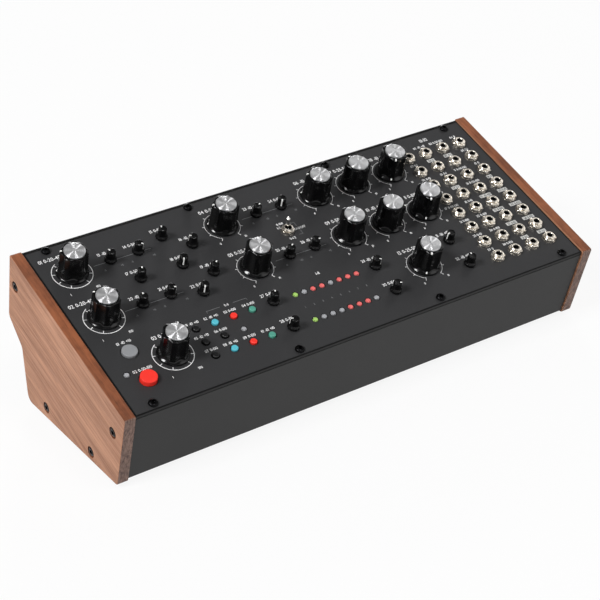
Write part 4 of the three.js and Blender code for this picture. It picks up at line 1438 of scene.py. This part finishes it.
@dataclass
class ToggleSwitch(Assembly):
    """A toggle switch with a threaded neck, a nut and a polished lever."""

    lean: float = math.radians(12.0)
    pivot: float = 1.0
    neck_radius: float = 3.0
    nut_radius: float = 4.2
    nut_turn: float = 0.25
    body_size: Point = (8.0, 13.0)
    body_bottom: float = -9.6

    def fixed_profile(self) -> list[Ring]:
        """Lists the rings of the neck and its nut, down into its bore."""
        neck, nut = self.neck_radius, self.nut_radius
        rings = [Ring(0, -5.0), Ring(neck, -5.0), Ring(neck, 0.03), Ring(3.85, 0.03), Ring(3.9, 0.12)]
        rings += [Ring(3.9, 0.24), Ring(3.8, 0.3), Ring(nut * 0.96, 0.33, 0.5), Ring(nut, 0.5, 1), Ring(nut, 1.8, 1)]
        rings += [Ring(nut * 0.985, 1.9, 0.85), Ring(nut * 0.93, 2.05, 0.3), Ring(3.4, 2.1), Ring(neck, 2.12)]
        for turn in range(4):
            height = 2.15 + 0.3 * turn
            rings += [Ring(neck - 0.12, height), Ring(neck, height + 0.14)]
        rings += [Ring(neck - 0.15, 3.5), Ring(neck - 0.35, 3.6), Ring(2.2, 3.6), Ring(2.0, 3.45, 0, 1)]
        return rings + [Ring(2.0, -3.9, 0, 1), Ring(0, -4.0)]

    def lever_profile(self) -> list[Ring]:
        """Lists the lever's rings, from its tail to its rounded tip."""
        rings = [Ring(0, -2.2), Ring(0.8, -2.2), Ring(0.9, -2.0), Ring(0.9, -1.1)]
        for step in range(1, 8):
            turn = -math.pi / 2 + step * math.pi / 8
            rings.append(Ring(1.4 * math.cos(turn) + 0.02, 1.4 * math.sin(turn)))
        rings += [Ring(0.86, 1.5), Ring(0.9, 3.6), Ring(1.12, 5.4), Ring(1.42, 7.0), Ring(1.5, 7.7)]
        for step in range(1, 7):
            turn = step * math.pi / 14
            rings.append(Ring(1.5 * math.cos(turn), 7.7 + 1.27 * math.sin(turn)))
        return [ring for ring in rings if ring.height <= 8.98] + [Ring(0, 8.98)]

    def place(self) -> None:
        """Makes the switch and its lever."""
        sketch = MeshSketch()
        stand = at(TOGGLE.x, TOGGLE.y)
        sketch.turn(self.fixed_profile(), 48, stand @ Matrix.Rotation(self.nut_turn, 4, "Z"), hexagon)
        sketch.block(self.body_size, self.body_bottom, BODY_TOP, stand, 1)
        finishes = [NICKEL, SOCKET_BLACK]
        self.form(sketch, "toggle_switch_form", finishes, Slot.NICKEL, "toggle_switch_body", smooth=30.0)
        lever = MeshSketch()
        lever.turn(self.lever_profile(), 40)
        place = PANEL @ metres(at(TOGGLE.x, TOGGLE.y, self.pivot)) @ Matrix.Rotation(-self.lean, 4, "X")
        self.form(lever, "toggle_lever_form", [CHROME], Slot.CHROME, "toggle_lever", place=place, body="toggle")


class Lettering:
    """Numbers in a plain upright face, drawn once for each character."""

    gap: float = 0.07
    space: float = 0.28
    narrow: float = 0.86
    figure: float = 0.69

    def __init__(self) -> None:
        """Starts with no characters drawn."""
        self.known: dict[str, tuple[bpy.types.Mesh, float, float]] = {}

    def character(self, letter: str) -> tuple[bpy.types.Mesh, float, float]:
        """Draws one character of size 1.

        Args:
            letter: the character.

        Returns:
            Its flat mesh, its left edge and its right edge.
        """
        if letter not in self.known:
            curve = bpy.data.curves.new("character", "FONT")
            curve.body, curve.resolution_u, curve.offset = letter, 3, 0.012
            drawn = bpy.data.objects.new("character", curve)
            bpy.context.scene.collection.objects.link(drawn)
            bpy.context.view_layer.update()
            mesh = bpy.data.meshes.new_from_object(drawn.evaluated_get(bpy.context.evaluated_depsgraph_get()))
            bpy.data.objects.remove(drawn)
            sketch = bmesh.new()
            sketch.from_mesh(mesh)
            bmesh.ops.remove_doubles(sketch, verts=sketch.verts, dist=1e-5)
            raised = bmesh.ops.extrude_face_region(sketch, geom=list(sketch.faces), use_keep_orig=True)
            top = [item for item in raised["geom"] if isinstance(item, bmesh.types.BMVert)]
            bmesh.ops.translate(sketch, verts=top, vec=(0, 0, 1))
            bmesh.ops.recalc_face_normals(sketch, faces=sketch.faces)
            sketch.to_mesh(mesh)
            sketch.free()
            places = [vertex.co.x for vertex in mesh.vertices]
            self.known[letter] = (mesh, min(places), max(places))
        return self.known[letter]

    def widths(self, text: str) -> list[float]:
        """Gives each character's width at size 1."""
        return [self.space if c == " " else self.character(c)[2] - self.character(c)[1] for c in text]

    def label(self, number: int, width: float, height: float) -> str:
        """Picks the plain label of a number whose line comes nearest to a width.

        Args:
            number: the number it starts with.
            width: the width wanted.
            height: the height of a figure.

        Returns:
            The label.
        """
        size = height / self.figure * self.narrow
        tails = ("", " 0", " 0-1", " 0-10", " 0-100", " -10 +10", " 0-50-100", " 0-25-50-100", " 0-25-50-75-100")
        labels = [f"{number:02d}{tail}" for tail in tails + (" 0-20-40-60-80-100",)]
        return min(labels, key=lambda text: abs(size * (sum(self.widths(text)) + self.gap * len(text)) - width))

    def write(
        self, sketch: MeshSketch, text: str, x: float, y: float, height: float, finish: int, bottom: float, top: float
    ) -> None:
        """Writes a line of characters, centred on a place.

        Args:
            sketch: the sketch it goes into.
            text: the characters.
            x: the middle of the line.
            y: the foot of the line.
            height: the height of a figure.
            finish: the line's finish.
            bottom: the height of the ink's underside over the panel.
            top: the height of its top.
        """
        size = height / self.figure
        gap, narrow = self.gap, self.narrow
        widths = self.widths(text)
        cursor = -(sum(widths) + gap * (len(text) - 1)) / 2
        for letter, width in zip(text, widths):
            if letter != " ":
                mesh, left, _ = self.character(letter)
                shift = Matrix.Translation((x + (cursor - left) * size * narrow, y, bottom))
                scale = Matrix.Diagonal((size * narrow, size, top - bottom, 1))
                sketch.add(mesh, shift @ scale, finish)
            cursor += width + gap


@dataclass
class PanelPrint(Assembly):
    """What is printed on the panel: scales, numbers, lines and the plates beside the sockets."""

    ink_bottom: float = -0.02
    ink_top: float = 0.035
    over_top: float = 0.06
    letters: Lettering = field(default_factory=Lettering)
    sketch: MeshSketch = field(default_factory=MeshSketch)

    def line(self, path: Sequence[Point], width: float, finish: int = 0) -> None:
        """Prints a line through places given as u and v.

        Args:
            path: the places.
            width: the line's width.
            finish: its finish.
        """
        points = [spot(u, v) for u, v in path]
        self.sketch.ribbon(points, width, self.ink_bottom, self.ink_top, finish)

    def write(self, text: str, u: float, v: float, height: float, finish: int = 0, top: float | None = None) -> None:
        """Prints a line of characters centred on a place.

        Args:
            text: the characters.
            u: the distance of its middle from the panel's left edge.
            v: the distance of its middle from the rear edge.
            height: the height of a figure.
            finish: its finish.
            top: the height of the ink over the panel.
        """
        x, y = spot(u, v)
        self.letters.write(
            self.sketch, text, x, y - height / 2, height, finish, self.ink_bottom, top or self.ink_top
        )

    def arc(self, x: float, y: float, radius: float, start: float, end: float, width: float) -> None:
        """Prints an arc, its turns in degrees clockwise from the rear.

        Args:
            x: the middle across.
            y: the middle along.
            radius: the arc's radius.
            start: where it starts.
            end: where it ends.
            width: the line's width.
        """
        count = max(int(abs(end - start) / 4), 2)
        turns = [math.radians(start + (end - start) * i / count) for i in range(count + 1)]
        path = [(x + radius * math.sin(t), y + radius * math.cos(t)) for t in turns]
        self.sketch.ribbon(path, width, self.ink_bottom, self.ink_top)

    def tick(self, x: float, y: float, inner: float, outer: float, turn: float, width: float) -> None:
        """Prints a radial tick.

        Args:
            x: the middle across.
            y: the middle along.
            inner: its inner radius.
            outer: its outer radius.
            turn: its turn in degrees clockwise from the rear.
            width: its width.
        """
        s, c = math.sin(math.radians(turn)), math.cos(math.radians(turn))
        path = [(x + inner * s, y + inner * c), (x + outer * s, y + outer * c)]
        self.sketch.ribbon(path, width, self.ink_bottom, self.ink_top)

    def scale(self, knob: Control, kind: Scale) -> None:
        """Prints the scale round a large knob.

        Args:
            knob: the knob.
            kind: which kind of scale it has.
        """
        turns = [HALF_TRAVEL * (step / 4 - 1) for step in range(9)]
        u, v = knob.x + HALF_WIDTH, -knob.y
        if kind is Scale.RING:
            self.arc(knob.x, knob.y, 11.4, 30, 330, 0.4)
            for turn in turns:
                self.tick(knob.x, knob.y, 9.5, 11.4, turn, 0.4)
            self.write("1", u - 8.2, v + 14.4, 1.6)
            self.write("100", u + 8.6, v + 14.4, 1.6)
            return
        self.arc(knob.x, knob.y, 10.6, -HALF_TRAVEL, HALF_TRAVEL, 0.24)
        for turn in turns:
            self.tick(knob.x, knob.y, 10.6, 12.6 if abs(turn) == HALF_TRAVEL else 12.0, turn, 0.3)
        self.write("0", u - 8.4, v + 12.6, 1.5)
        self.write("10", u + 8.6, v + 12.6, 1.5)

    def knobs(self) -> None:
        """Prints the scales and numbers of the large knobs."""
        widths = (26.0, 33.0, 10.0, 15.0, 21.0, 14.0, 19.0, 12.0, 17.0, 11.0, 9.0, 20.0)
        for number, (knob, width) in enumerate(zip(KNOBS, widths), 1):
            self.scale(knob, Scale.RING if number <= 3 else Scale.TICKS)
            text = self.letters.label(number, width, 2.5)
            self.write(text, knob.x + HALF_WIDTH, -knob.y - 14.2, 2.5)

    def trimmers(self) -> None:
        """Prints the numbers of the trimmers and the lines that join pairs of them."""
        for number, knob in enumerate(TRIMMERS, len(KNOBS) + 1):
            text = self.letters.label(number, 9.0 + number % 3, 2.1)
            self.write(text, knob.x + HALF_WIDTH, -knob.y - 6.6, 2.1)
        for row, ends in ((23.7, (31.5, 67.8)), (60.9, (31.0, 67.6)), (23.9, (128.5, 163.4)), (60.9, (128.5, 163.6))):
            self.line([(ends[0], row), (ends[1], row)], 0.28, 1)
            middle = (ends[0] + ends[1]) / 2
            for u, text in ((ends[0] + 4.4, "-5"), (middle - 3.0, "+5"), (middle + 3.4, "-5"), (ends[1] - 0.8, "+5")):
                self.write(text, u, row + 5.3, 1.3, 1)

    def buttons(self) -> None:
        """Prints the numbers and the bracket of the buttons, and the numbers of the steps."""
        for number, button in enumerate(SMALL_BUTTONS, 1):
            text = self.letters.label(number, 7.4 + number % 3, 1.8)
            self.write(text, button.x + HALF_WIDTH, -button.y - 4.6, 1.8)
        for number, button in enumerate(BIG_BUTTONS, 1):
            text = self.letters.label(number, 8.0 + 1.6 * number, 1.9)
            self.write(text, button.x + HALF_WIDTH + 0.4, -button.y - 7.4, 1.9)
        self.line([(71.6, 80.4), (71.6, 79.0), (80.2, 79.0)], 0.26, 1)
        self.line([(88.8, 79.0), (97.3, 79.0), (97.3, 80.4)], 0.26, 1)
        self.write("0-8", 84.5, 79.0, 1.6)
        for step, u in enumerate(STEP_COLUMNS, 1):
            self.write(str(step), u, 98.5, 1.3, 1)
        self.write("1-8", 145.6, 78.8, 2.0)

    def toggle(self) -> None:
        """Prints the marks of the toggle switch and the lines that lead from it."""
        u, v = TOGGLE.x + HALF_WIDTH, -TOGGLE.y
        texts = (("0-100", -1.0, -7.0), ("1-2", -3.2, -4.3), ("ON/OFF", 8.6, 0.2), ("0-1-2", 0.0, 6.0))
        for text, across, along in texts:
            self.write(text, u + across, v + along, 1.7)
        self.line([(u + 7.6, v - 1.6), (u + 7.6, v - 5.0), (u + 4.8, v - 5.0)], 0.26, 1)
        self.line([(u + 7.8, v + 1.8), (u + 7.8, v + 4.9), (u + 5.2, v + 4.9)], 0.26, 1)

    def sockets(self) -> None:
        """Prints the sockets' numbers, some of them on pale plates."""
        for number, ((u, v), width) in enumerate(zip(JACKS, SOCKET_LABELS)):
            text = self.letters.label(number + 1, abs(width) - (1.0 if width < 0 else 0.0), 1.75)
            if width > 0:
                self.write(text, u, v - 7.0, 1.75)
                continue
            plate = [spot(u + x * width / 2, v - 7.0 + y) for x, y in ((1, 1.25), (-1, 1.25), (-1, -1.25), (1, -1.25))]
            self.sketch.prism(plate, self.ink_bottom, self.ink_top, finish=2)
            self.write(text, u, v - 7.0, 1.6, 3, self.over_top)
        self.write("01-32", JACKS[1][0] + 6.6, JACKS[1][1] - 11.6, 2.4)

    def place(self) -> None:
        """Prints everything as one piece."""
        self.knobs()
        self.trimmers()
        self.buttons()
        self.toggle()
        self.sockets()
        bmesh.ops.recalc_face_normals(self.sketch.mesh, faces=self.sketch.mesh.faces)
        finishes = [PRINT_WHITE, PRINT_GREY, PRINT_PLATE, PRINT_DARK]
        self.form(self.sketch, "panel_print", finishes, Slot.PANEL, smooth=30.0)


@dataclass(frozen=True)
class Corner:
    """A corner of the side view: how far to the rear, how high, and how round it is."""

    rear: float
    up: float
    radius: float
    reveal: float
    cove: bool = False


@dataclass
class SideOutline:
    """The side view, with the rear edge of the panel's face at its origin."""

    height: float = 92.2
    overhang: float = 13.7
    setback: float = 0.4
    front_lean: float = math.radians(18.47)
    front_reach: float = 129.6
    rear_reach: float = -2.2
    wood_rise: float = 0.7
    steps: int = 12

    def on_slope(self, depth: float, height: float) -> Point:
        """Gives a point from its distance down the slope and its height over the panel."""
        c, s = math.cos(TILT), math.sin(TILT)
        return -depth * c - height * s, height * c - depth * s

    def corners(self) -> list[Corner]:
        """Lists the corners of a wooden side, with the case's reveal along the edge that follows each."""
        front = self.on_slope(self.front_reach, self.wood_rise)
        toe = front[0] + (self.height + front[1]) * math.tan(self.front_lean)
        return [
            Corner(*self.on_slope(self.rear_reach, self.wood_rise), 1.4, 0.7),
            Corner(self.overhang, -0.4534 * self.height, 5.0, 0.7),
            Corner(self.setback, -0.6182 * self.height, 6.0, 0.7, True),
            Corner(self.setback, -self.height, 6.0, 1.1),
            Corner(toe, -self.height, 2.5, 1.1),
            Corner(*front, 1.4, 0.7),
        ]

    def inset(self, depth: float, revealed: bool) -> list[Corner]:
        """Moves the outline's edges inward.

        Args:
            depth: how far each edge moves.
            revealed: whether each edge's reveal is added.

        Returns:
            The corners of the smaller outline.
        """
        corners = self.corners()
        edges = []
        for i, corner in enumerate(corners):
            after = corners[(i + 1) % len(corners)]
            along = Vector((after.rear - corner.rear, after.up - corner.up)).normalized()
            reach = depth + (corner.reveal if revealed else 0.0)
            edges.append((Vector((corner.rear, corner.up)) + Vector((along.y, -along.x)) * reach, along))
        found = []
        for i, corner in enumerate(corners):
            (before, entering), (after, leaving) = edges[i - 1], edges[i]
            apart = after - before
            point = before + entering * (apart.cross(leaving) / entering.cross(leaving))
            shrink = depth + (corner.reveal if revealed else 0.0)
            radius = corner.radius + shrink if corner.cove else max(corner.radius - shrink, 0.0)
            found.append(Corner(point.x, point.y, radius, corner.reveal, corner.cove))
        return found

    def rounded(self, corners: Sequence[Corner]) -> list[Point]:
        """Rounds the corners off.

        Args:
            corners: the corners in order.

        Returns:
            The outline's points, anticlockwise.
        """
        points: list[Point] = []
        for i, corner in enumerate(corners):
            here = Vector((corner.rear, corner.up))
            if corner.radius == 0:
                points.append(tuple(here))
                continue
            before, after = corners[i - 1], corners[(i + 1) % len(corners)]
            back = (Vector((before.rear, before.up)) - here).normalized()
            ahead = (Vector((after.rear, after.up)) - here).normalized()
            reach = corner.radius / math.tan(back.angle(ahead) / 2)
            start, end = here + back * reach, here + ahead * reach
            for step in range(self.steps + 1):
                t = step / self.steps
                point = start * (1 - t) ** 2 + here * 2 * t * (1 - t) + end * t**2
                points.append(tuple(point))
        return points[::-1]


@dataclass
class SideScrews(Assembly):
    """The screws that hold the wooden sides, sunk level with the wood."""

    outside: float = 159.5
    screw: SocketScrew = field(default_factory=lambda: SocketScrew(1.6, 3.0, 1.68, 8.0, 1.45))
    shares: tuple[Point, ...] = ((0.1, 0.195), (0.277, 0.921), (0.887, 0.633), (0.67, 0.935))
    outline: SideOutline = field(default_factory=SideOutline)

    def places(self) -> list[Matrix]:
        """Lists where the screws' seats are, in the side view's millimetres."""
        points = self.outline.rounded(self.outline.corners())
        rear, front = max(x for x, _ in points), min(x for x, _ in points)
        found = []
        for side in (0.0, math.pi):
            for number, (reach, drop) in enumerate(self.shares):
                spin = Matrix.Rotation(0.4 + 0.9 * number, 4, "Z")
                place = Matrix.Translation((rear - reach * (rear - front), -drop * self.outline.height, 0))
                out = Matrix.Translation((0, 0, self.outside - self.screw.head_height - 0.01))
                found.append(place @ Matrix.Rotation(side, 4, "X") @ out @ spin)
        return found

    def place(self) -> None:
        """Makes all the screws as one piece."""
        sketch = MeshSketch()
        for place in self.places():
            self.screw.draw(sketch, place)
        self.form(sketch, "side_screws", [BOLT_BLACK], Slot.CASE, place=SIDE_VIEW)


@dataclass
class WoodSides(Assembly):
    """The two wooden sides, with counterbores for their screws."""

    inside: float = 152.7
    outside: float = 159.5
    trim: float = 0.04
    edge_radius: float = 0.45
    bore_radius: float = 3.4
    bore_floor: float = -0.3
    screw_hole: float = 1.9
    outline: SideOutline = field(default_factory=SideOutline)

    def place(self) -> None:
        """Makes both sides."""
        points = self.outline.rounded(self.outline.inset(self.trim, False))
        for node, left in (("left_wood_side", True), ("right_wood_side", False)):
            low, high = (-self.outside, -self.inside) if left else (self.inside, self.outside)
            sketch = MeshSketch()
            sketch.prism(points, low, high)
            sketch.soften(self.edge_radius, 4, 60.0)
            piece = new_object(node + "_form", sketch.finish_mesh(node + "_form", [SIDE_WOOD]), SIDE_VIEW)
            bores = MeshSketch()
            for place in SideScrews().places():
                if (place.translation.z < 0) is left:
                    hole, wide, floor = self.screw_hole, self.bore_radius, self.bore_floor
                    rings = [Ring(0, -9), Ring(hole, -9), Ring(hole, floor), Ring(wide, floor)]
                    bores.turn(rings + [Ring(wide, 4), Ring(0, 4)], 40, place)
            carve(piece, [bores])
            shade(piece.data, 30.0)
            self.seat(piece, Slot.WOOD, node)


@dataclass
class CaseShell(Assembly):
    """The folded metal case: an open tray with end walls."""

    sheet: float = 1.2
    edge_radius: float = 0.3
    rear_holes: tuple[Point, ...] = ((AUDIO_ACROSS, 5.0), (POWER_ACROSS, 4.5))
    outline: SideOutline = field(default_factory=SideOutline)

    def place(self) -> None:
        """Makes the tray and cuts its rear holes."""
        side = self.outline
        sketch = MeshSketch()
        sketch.prism(side.rounded(side.inset(0.0, True)), -HALF_WIDTH, HALF_WIDTH)
        piece = new_object("case_shell_form", sketch.finish_mesh("case_shell_form", [CASE_PAINT]), SIDE_VIEW)
        hollow = MeshSketch()
        inner = side.rounded(side.inset(self.sheet, True))
        hollow.prism(inner, self.sheet - HALF_WIDTH, HALF_WIDTH - self.sheet)
        mouth = MeshSketch()
        places = [(-0.3, 2.0), (-0.3, -2.3), (131.0, -2.3), (131.0, 2.0)]
        mouth.prism([side.on_slope(*p) for p in places], -HALF_WIDTH - 1, HALF_WIDTH + 1)
        holes = MeshSketch()
        rear = side.setback - 0.7
        rise = REAR_SOCKET_RISE - REAR_EDGE.z / MM
        for across, radius in self.rear_holes:
            turn = Matrix.Translation((rear, rise, across)) @ Matrix.Rotation(math.pi / 2, 4, "Y")
            holes.turn([Ring(0, -3), Ring(radius, -3), Ring(radius, 3), Ring(0, 3)], 48, turn)
        carve(piece, [hollow, mouth, holes])
        soften_piece(piece, self.edge_radius, 50.0)
        self.seat(piece, Slot.CASE, "case_shell")


@dataclass
class Feet(Assembly):
    """Four round rubber feet, each with a recessed screw."""

    radius: float = 6.0

    def profile(self, height: float) -> list[Ring]:
        """Lists a foot's rings, from the roof of its recess round to its top."""
        r = self.radius
        rings = [Ring(0, 1.7, 0, 1), Ring(1.1, 1.7, 0, 1), Ring(1.8, 1.45, 0, 1), Ring(2.0, 1.2, 0, 1)]
        rings += [Ring(2.0, 1.1), Ring(2.3, 1.1), Ring(2.3, 0.25), Ring(2.5, 0.04), Ring(2.8, 0)]
        rings += [Ring(r - 0.9, 0), Ring(r - 0.45, 0.1), Ring(r - 0.12, 0.4), Ring(r, 0.9), Ring(r - 0.1, height - 0.3)]
        return rings + [Ring(r - 0.3, height), Ring(0, height)]

    def place(self) -> None:
        """Makes the four feet."""
        for node in ("rear_left_foot", "rear_right_foot", "front_left_foot", "front_right_foot"):
            low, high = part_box(node)
            sketch = MeshSketch()
            sketch.turn(self.profile((high.z - low.z) / MM), 48)
            middle = Matrix.Translation(((low.x + high.x) / 2, (low.y + high.y) / 2, low.z))
            self.form(sketch, node + "_form", [FOOT_RUBBER, BOLT_BLACK], Slot.RUBBER, node, place=middle)


@dataclass
class RearSockets(Assembly):
    """The audio output and the power inlet in the rear wall."""

    wall: float = -0.3
    body_top: float = -1.55

    def stand(self, across: float) -> Matrix:
        """Gives a socket's place, with its axis out of the rear wall."""
        place = Vector((across * MM, REAR_EDGE.y + self.wall * MM, REAR_SOCKET_RISE * MM))
        return Matrix.Translation(place) @ Matrix.Rotation(-math.pi / 2, 4, "X")

    def audio(self) -> None:
        """Makes the audio output: a threaded neck with a washer and a nut."""
        rings = [Ring(0, -17.5), Ring(4.7, -17.5), Ring(4.7, 0.03), Ring(6.5, 0.03), Ring(6.6, 0.12), Ring(6.6, 0.24)]
        rings += [Ring(6.5, 0.3), Ring(6.6, 0.34, 0.5), Ring(7.0, 0.6, 1), Ring(7.0, 2.1, 1), Ring(6.85, 2.3, 0.8)]
        rings += [Ring(6.4, 2.48, 0.25), Ring(5.9, 2.5), Ring(4.7, 2.52)]
        for turn in range(3):
            rings += [Ring(4.52, 2.56 + 0.26 * turn), Ring(4.7, 2.68 + 0.26 * turn)]
        rings += [Ring(4.5, 3.42), Ring(4.3, 3.5), Ring(3.6, 3.5), Ring(3.4, 3.42), Ring(3.3, 3.2, 0, 1)]
        rings += [Ring(3.3, -15, 0, 1), Ring(0, -15)]
        sketch = MeshSketch()
        sketch.turn(rings, 60, Matrix.Rotation(0.2, 4, "Z"), hexagon)
        sketch.block((15.0, 15.0), -18.4, self.body_top, finish=1)
        place, finishes = self.stand(AUDIO_ACROSS), [NICKEL, SOCKET_BLACK]
        self.form(
            sketch, "audio_output_form", finishes, Slot.NICKEL, "audio_output_socket", place=place, smooth=30.0
        )

    def power(self) -> None:
        """Makes the power inlet: a moulded neck round a centre pin."""
        rings = [Ring(0, -13.5), Ring(4.2, -13.5), Ring(4.2, 0.75), Ring(4.12, 0.92), Ring(3.95, 1.0), Ring(3.15, 1.0)]
        rings += [Ring(2.98, 0.93), Ring(2.9, 0.75), Ring(2.9, -10), Ring(1.0, -10, 0, 1), Ring(1.0, -0.9, 0, 1)]
        rings += [Ring(0.85, -0.62, 0, 1), Ring(0.55, -0.5, 0, 1), Ring(0, -0.5)]
        sketch = MeshSketch()
        sketch.turn(rings, 48)
        sketch.block((11.0, 11.0), -14.4, self.body_top)
        place, finishes = self.stand(POWER_ACROSS), [INLET_BLACK, NICKEL]
        self.form(sketch, "power_inlet_form", finishes, Slot.INLET, "power_inlet", place=place, smooth=30.0)

    def place(self) -> None:
        """Makes both sockets."""
        self.audio()
        self.power()


@dataclass
class ControlBoard:
    """The main circuit board, which keeps its solid and gets a finish."""

    node: str = "control_board"

    def place(self) -> None:
        """Dresses the board."""
        mesh = frame["nodes"][self.node].data
        mesh.materials.clear()
        level = (Matrix.Rotation(-TILT, 3, "X") @ REAR_EDGE).z / MM - 10.8
        finish = CircuitBoard("control_board_mask", BOARD_GREEN, 0.4, slope=TILT, level=level)
        mesh.materials.append(finish.material())
        LOG.info("%s keeps its solid", self.node)


@dataclass
class Studio:
    """A pale floor, soft lamps and the camera."""

    camera_place: tuple[float, float, float] = (-0.4839091, -0.7314925, 0.5224373)
    camera_turn: tuple[float, float, float] = (61.14986, 1.62985, -34.0403)
    lens: float = 102.4158
    floor_color: Color = (0.93, 0.93, 0.93)
    floor_reach: float = 6000.0
    wall_height: float = 0.08
    ceiling: float = 0.17
    target: Vector = field(default_factory=lambda: Vector((0.0, 0.0, 0.06)))

    def white_when_seen(self, sketch: ShaderSketch, shown: float) -> Any:
        """Gives how much of a surface is plain white to the camera, to metal and through glass.

        Args:
            sketch: the material's tree.
            shown: the most that is plain white.

        Returns:
            The share's socket.
        """
        path = sketch.add("ShaderNodeLightPath")
        seen = sketch.math("MAXIMUM", path.outputs["Is Camera Ray"], path.outputs["Is Glossy Ray"])
        seen = sketch.math("MAXIMUM", seen, path.outputs["Is Transmission Ray"])
        return sketch.math("MULTIPLY", seen, shown)

    def floor(self) -> None:
        """Lays the floor, which keeps a faint shadow."""
        sketch = MeshSketch()
        sketch.block((2 * self.floor_reach, 2 * self.floor_reach), -20, 0)
        mesh = sketch.finish_mesh("floor", [])
        material = bpy.data.materials.new("pale_floor")
        material.use_nodes = True
        shader = material.node_tree.nodes["Principled BSDF"]
        tree = ShaderSketch(material.node_tree)
        tree.fill(shader, {"Base Color": linear(self.floor_color), "Roughness": 0.9})
        plain = tree.add("ShaderNodeEmission", None, {"Color": (1, 1, 1, 1), "Strength": 1.0}).outputs[0]
        share = self.white_when_seen(tree, 0.9)
        mixed = tree.add("ShaderNodeMixShader", None, {0: share, 1: shader.outputs[0], 2: plain}).outputs[0]
        tree.fill(material.node_tree.nodes["Material Output"], {"Surface": mixed})
        mesh.materials.append(material)
        new_object("floor", mesh)

    def world(self) -> None:
        """Sets the room: white walls at the horizon that darken towards the ceiling."""
        world = bpy.data.worlds.new("room")
        bpy.context.scene.world = world
        world.use_nodes = True
        tree = ShaderSketch(world.node_tree)
        place = tree.add("ShaderNodeTexCoord").outputs["Generated"]
        height = tree.add("ShaderNodeSeparateXYZ", None, {0: place}).outputs[2]
        level = tree.ramp(height, self.wall_height, 2.2 * self.wall_height, 1.0, self.ceiling)
        shade = tree.add("ShaderNodeCombineColor", None, {0: level, 1: level, 2: level}).outputs[0]
        tree.fill(world.node_tree.nodes["Background"], {"Color": shade})

    def lamp(self, name: str, place: tuple[float, float, float], size: Point, power: float) -> None:
        """Hangs a soft lamp that looks at the instrument.

        Args:
            name: the lamp's name.
            place: where it hangs, in metres.
            size: its width and height, in metres.
            power: its power in watts.
        """
        light = bpy.data.lights.new(name, "AREA")
        light.shape, light.size, light.size_y, light.energy = "RECTANGLE", size[0], size[1], power
        lamp = bpy.data.objects.new(name, light)
        bpy.context.scene.collection.objects.link(lamp)
        look = (self.target - Vector(place)).to_track_quat("-Z", "Y")
        lamp.matrix_world = Matrix.Translation(place) @ look.to_matrix().to_4x4()

    def camera(self) -> None:
        """Sets up the camera at the photograph's angle."""
        data = bpy.data.cameras.new("camera")
        data.sensor_fit, data.sensor_width, data.lens = "HORIZONTAL", 36.0, self.lens
        data.clip_start, data.clip_end = 0.01, 50.0
        camera = bpy.data.objects.new("camera", data)
        bpy.context.scene.collection.objects.link(camera)
        turn = Euler([math.radians(angle) for angle in self.camera_turn])
        camera.matrix_world = Matrix.Translation(self.camera_place) @ turn.to_matrix().to_4x4()
        bpy.context.scene.camera = camera

    def place(self) -> None:
        """Sets up everything round the instrument."""
        self.floor()
        self.world()
        for name, place, size, power in (
            ("left_key", (-2.45, -0.52, 2.5), (0.9, 0.9), 90.0),
            ("rear_rim", (1.7, 2.83, 1.2), (0.8, 0.8), 36.0),
            ("front_top", (0.45, -1.7, 3.1), (0.6, 0.9), 24.0),
            ("right_fill", (2.5, 0.72, 2.4), (1.2, 1.0), 6.0),
            ("front_fill", (1.9, -2.7, 1.3), (2.0, 1.4), 12.0),
        ):
            self.lamp(name, place, size, power)
        self.camera()
        bpy.context.scene.view_settings.view_transform = "Standard"


def main() -> None:
    """Builds the instrument and its studio, piece by piece."""
    logging.basicConfig(level=logging.INFO, format="%(message)s")
    for part in (
        Studio, CaseShell, WoodSides, SideScrews, Feet, RearSockets, ControlBoard, FrontPanel, Rails, PanelPrint,
        StepLights, PatchBay, ToggleSwitch, LargeKnob, TrimmerKnob,
    ):
        part().place()
    for button in BIG_BUTTONS:
        PushButton(*BIG_SIZES[button.node], -6.1, 0.35, 0.12).place([button])
    PushButton(2.0, 1.2, -6.8, 0.55, 0.0, 40).place(SMALL_BUTTONS)


if __name__ == "__main__":
    main()
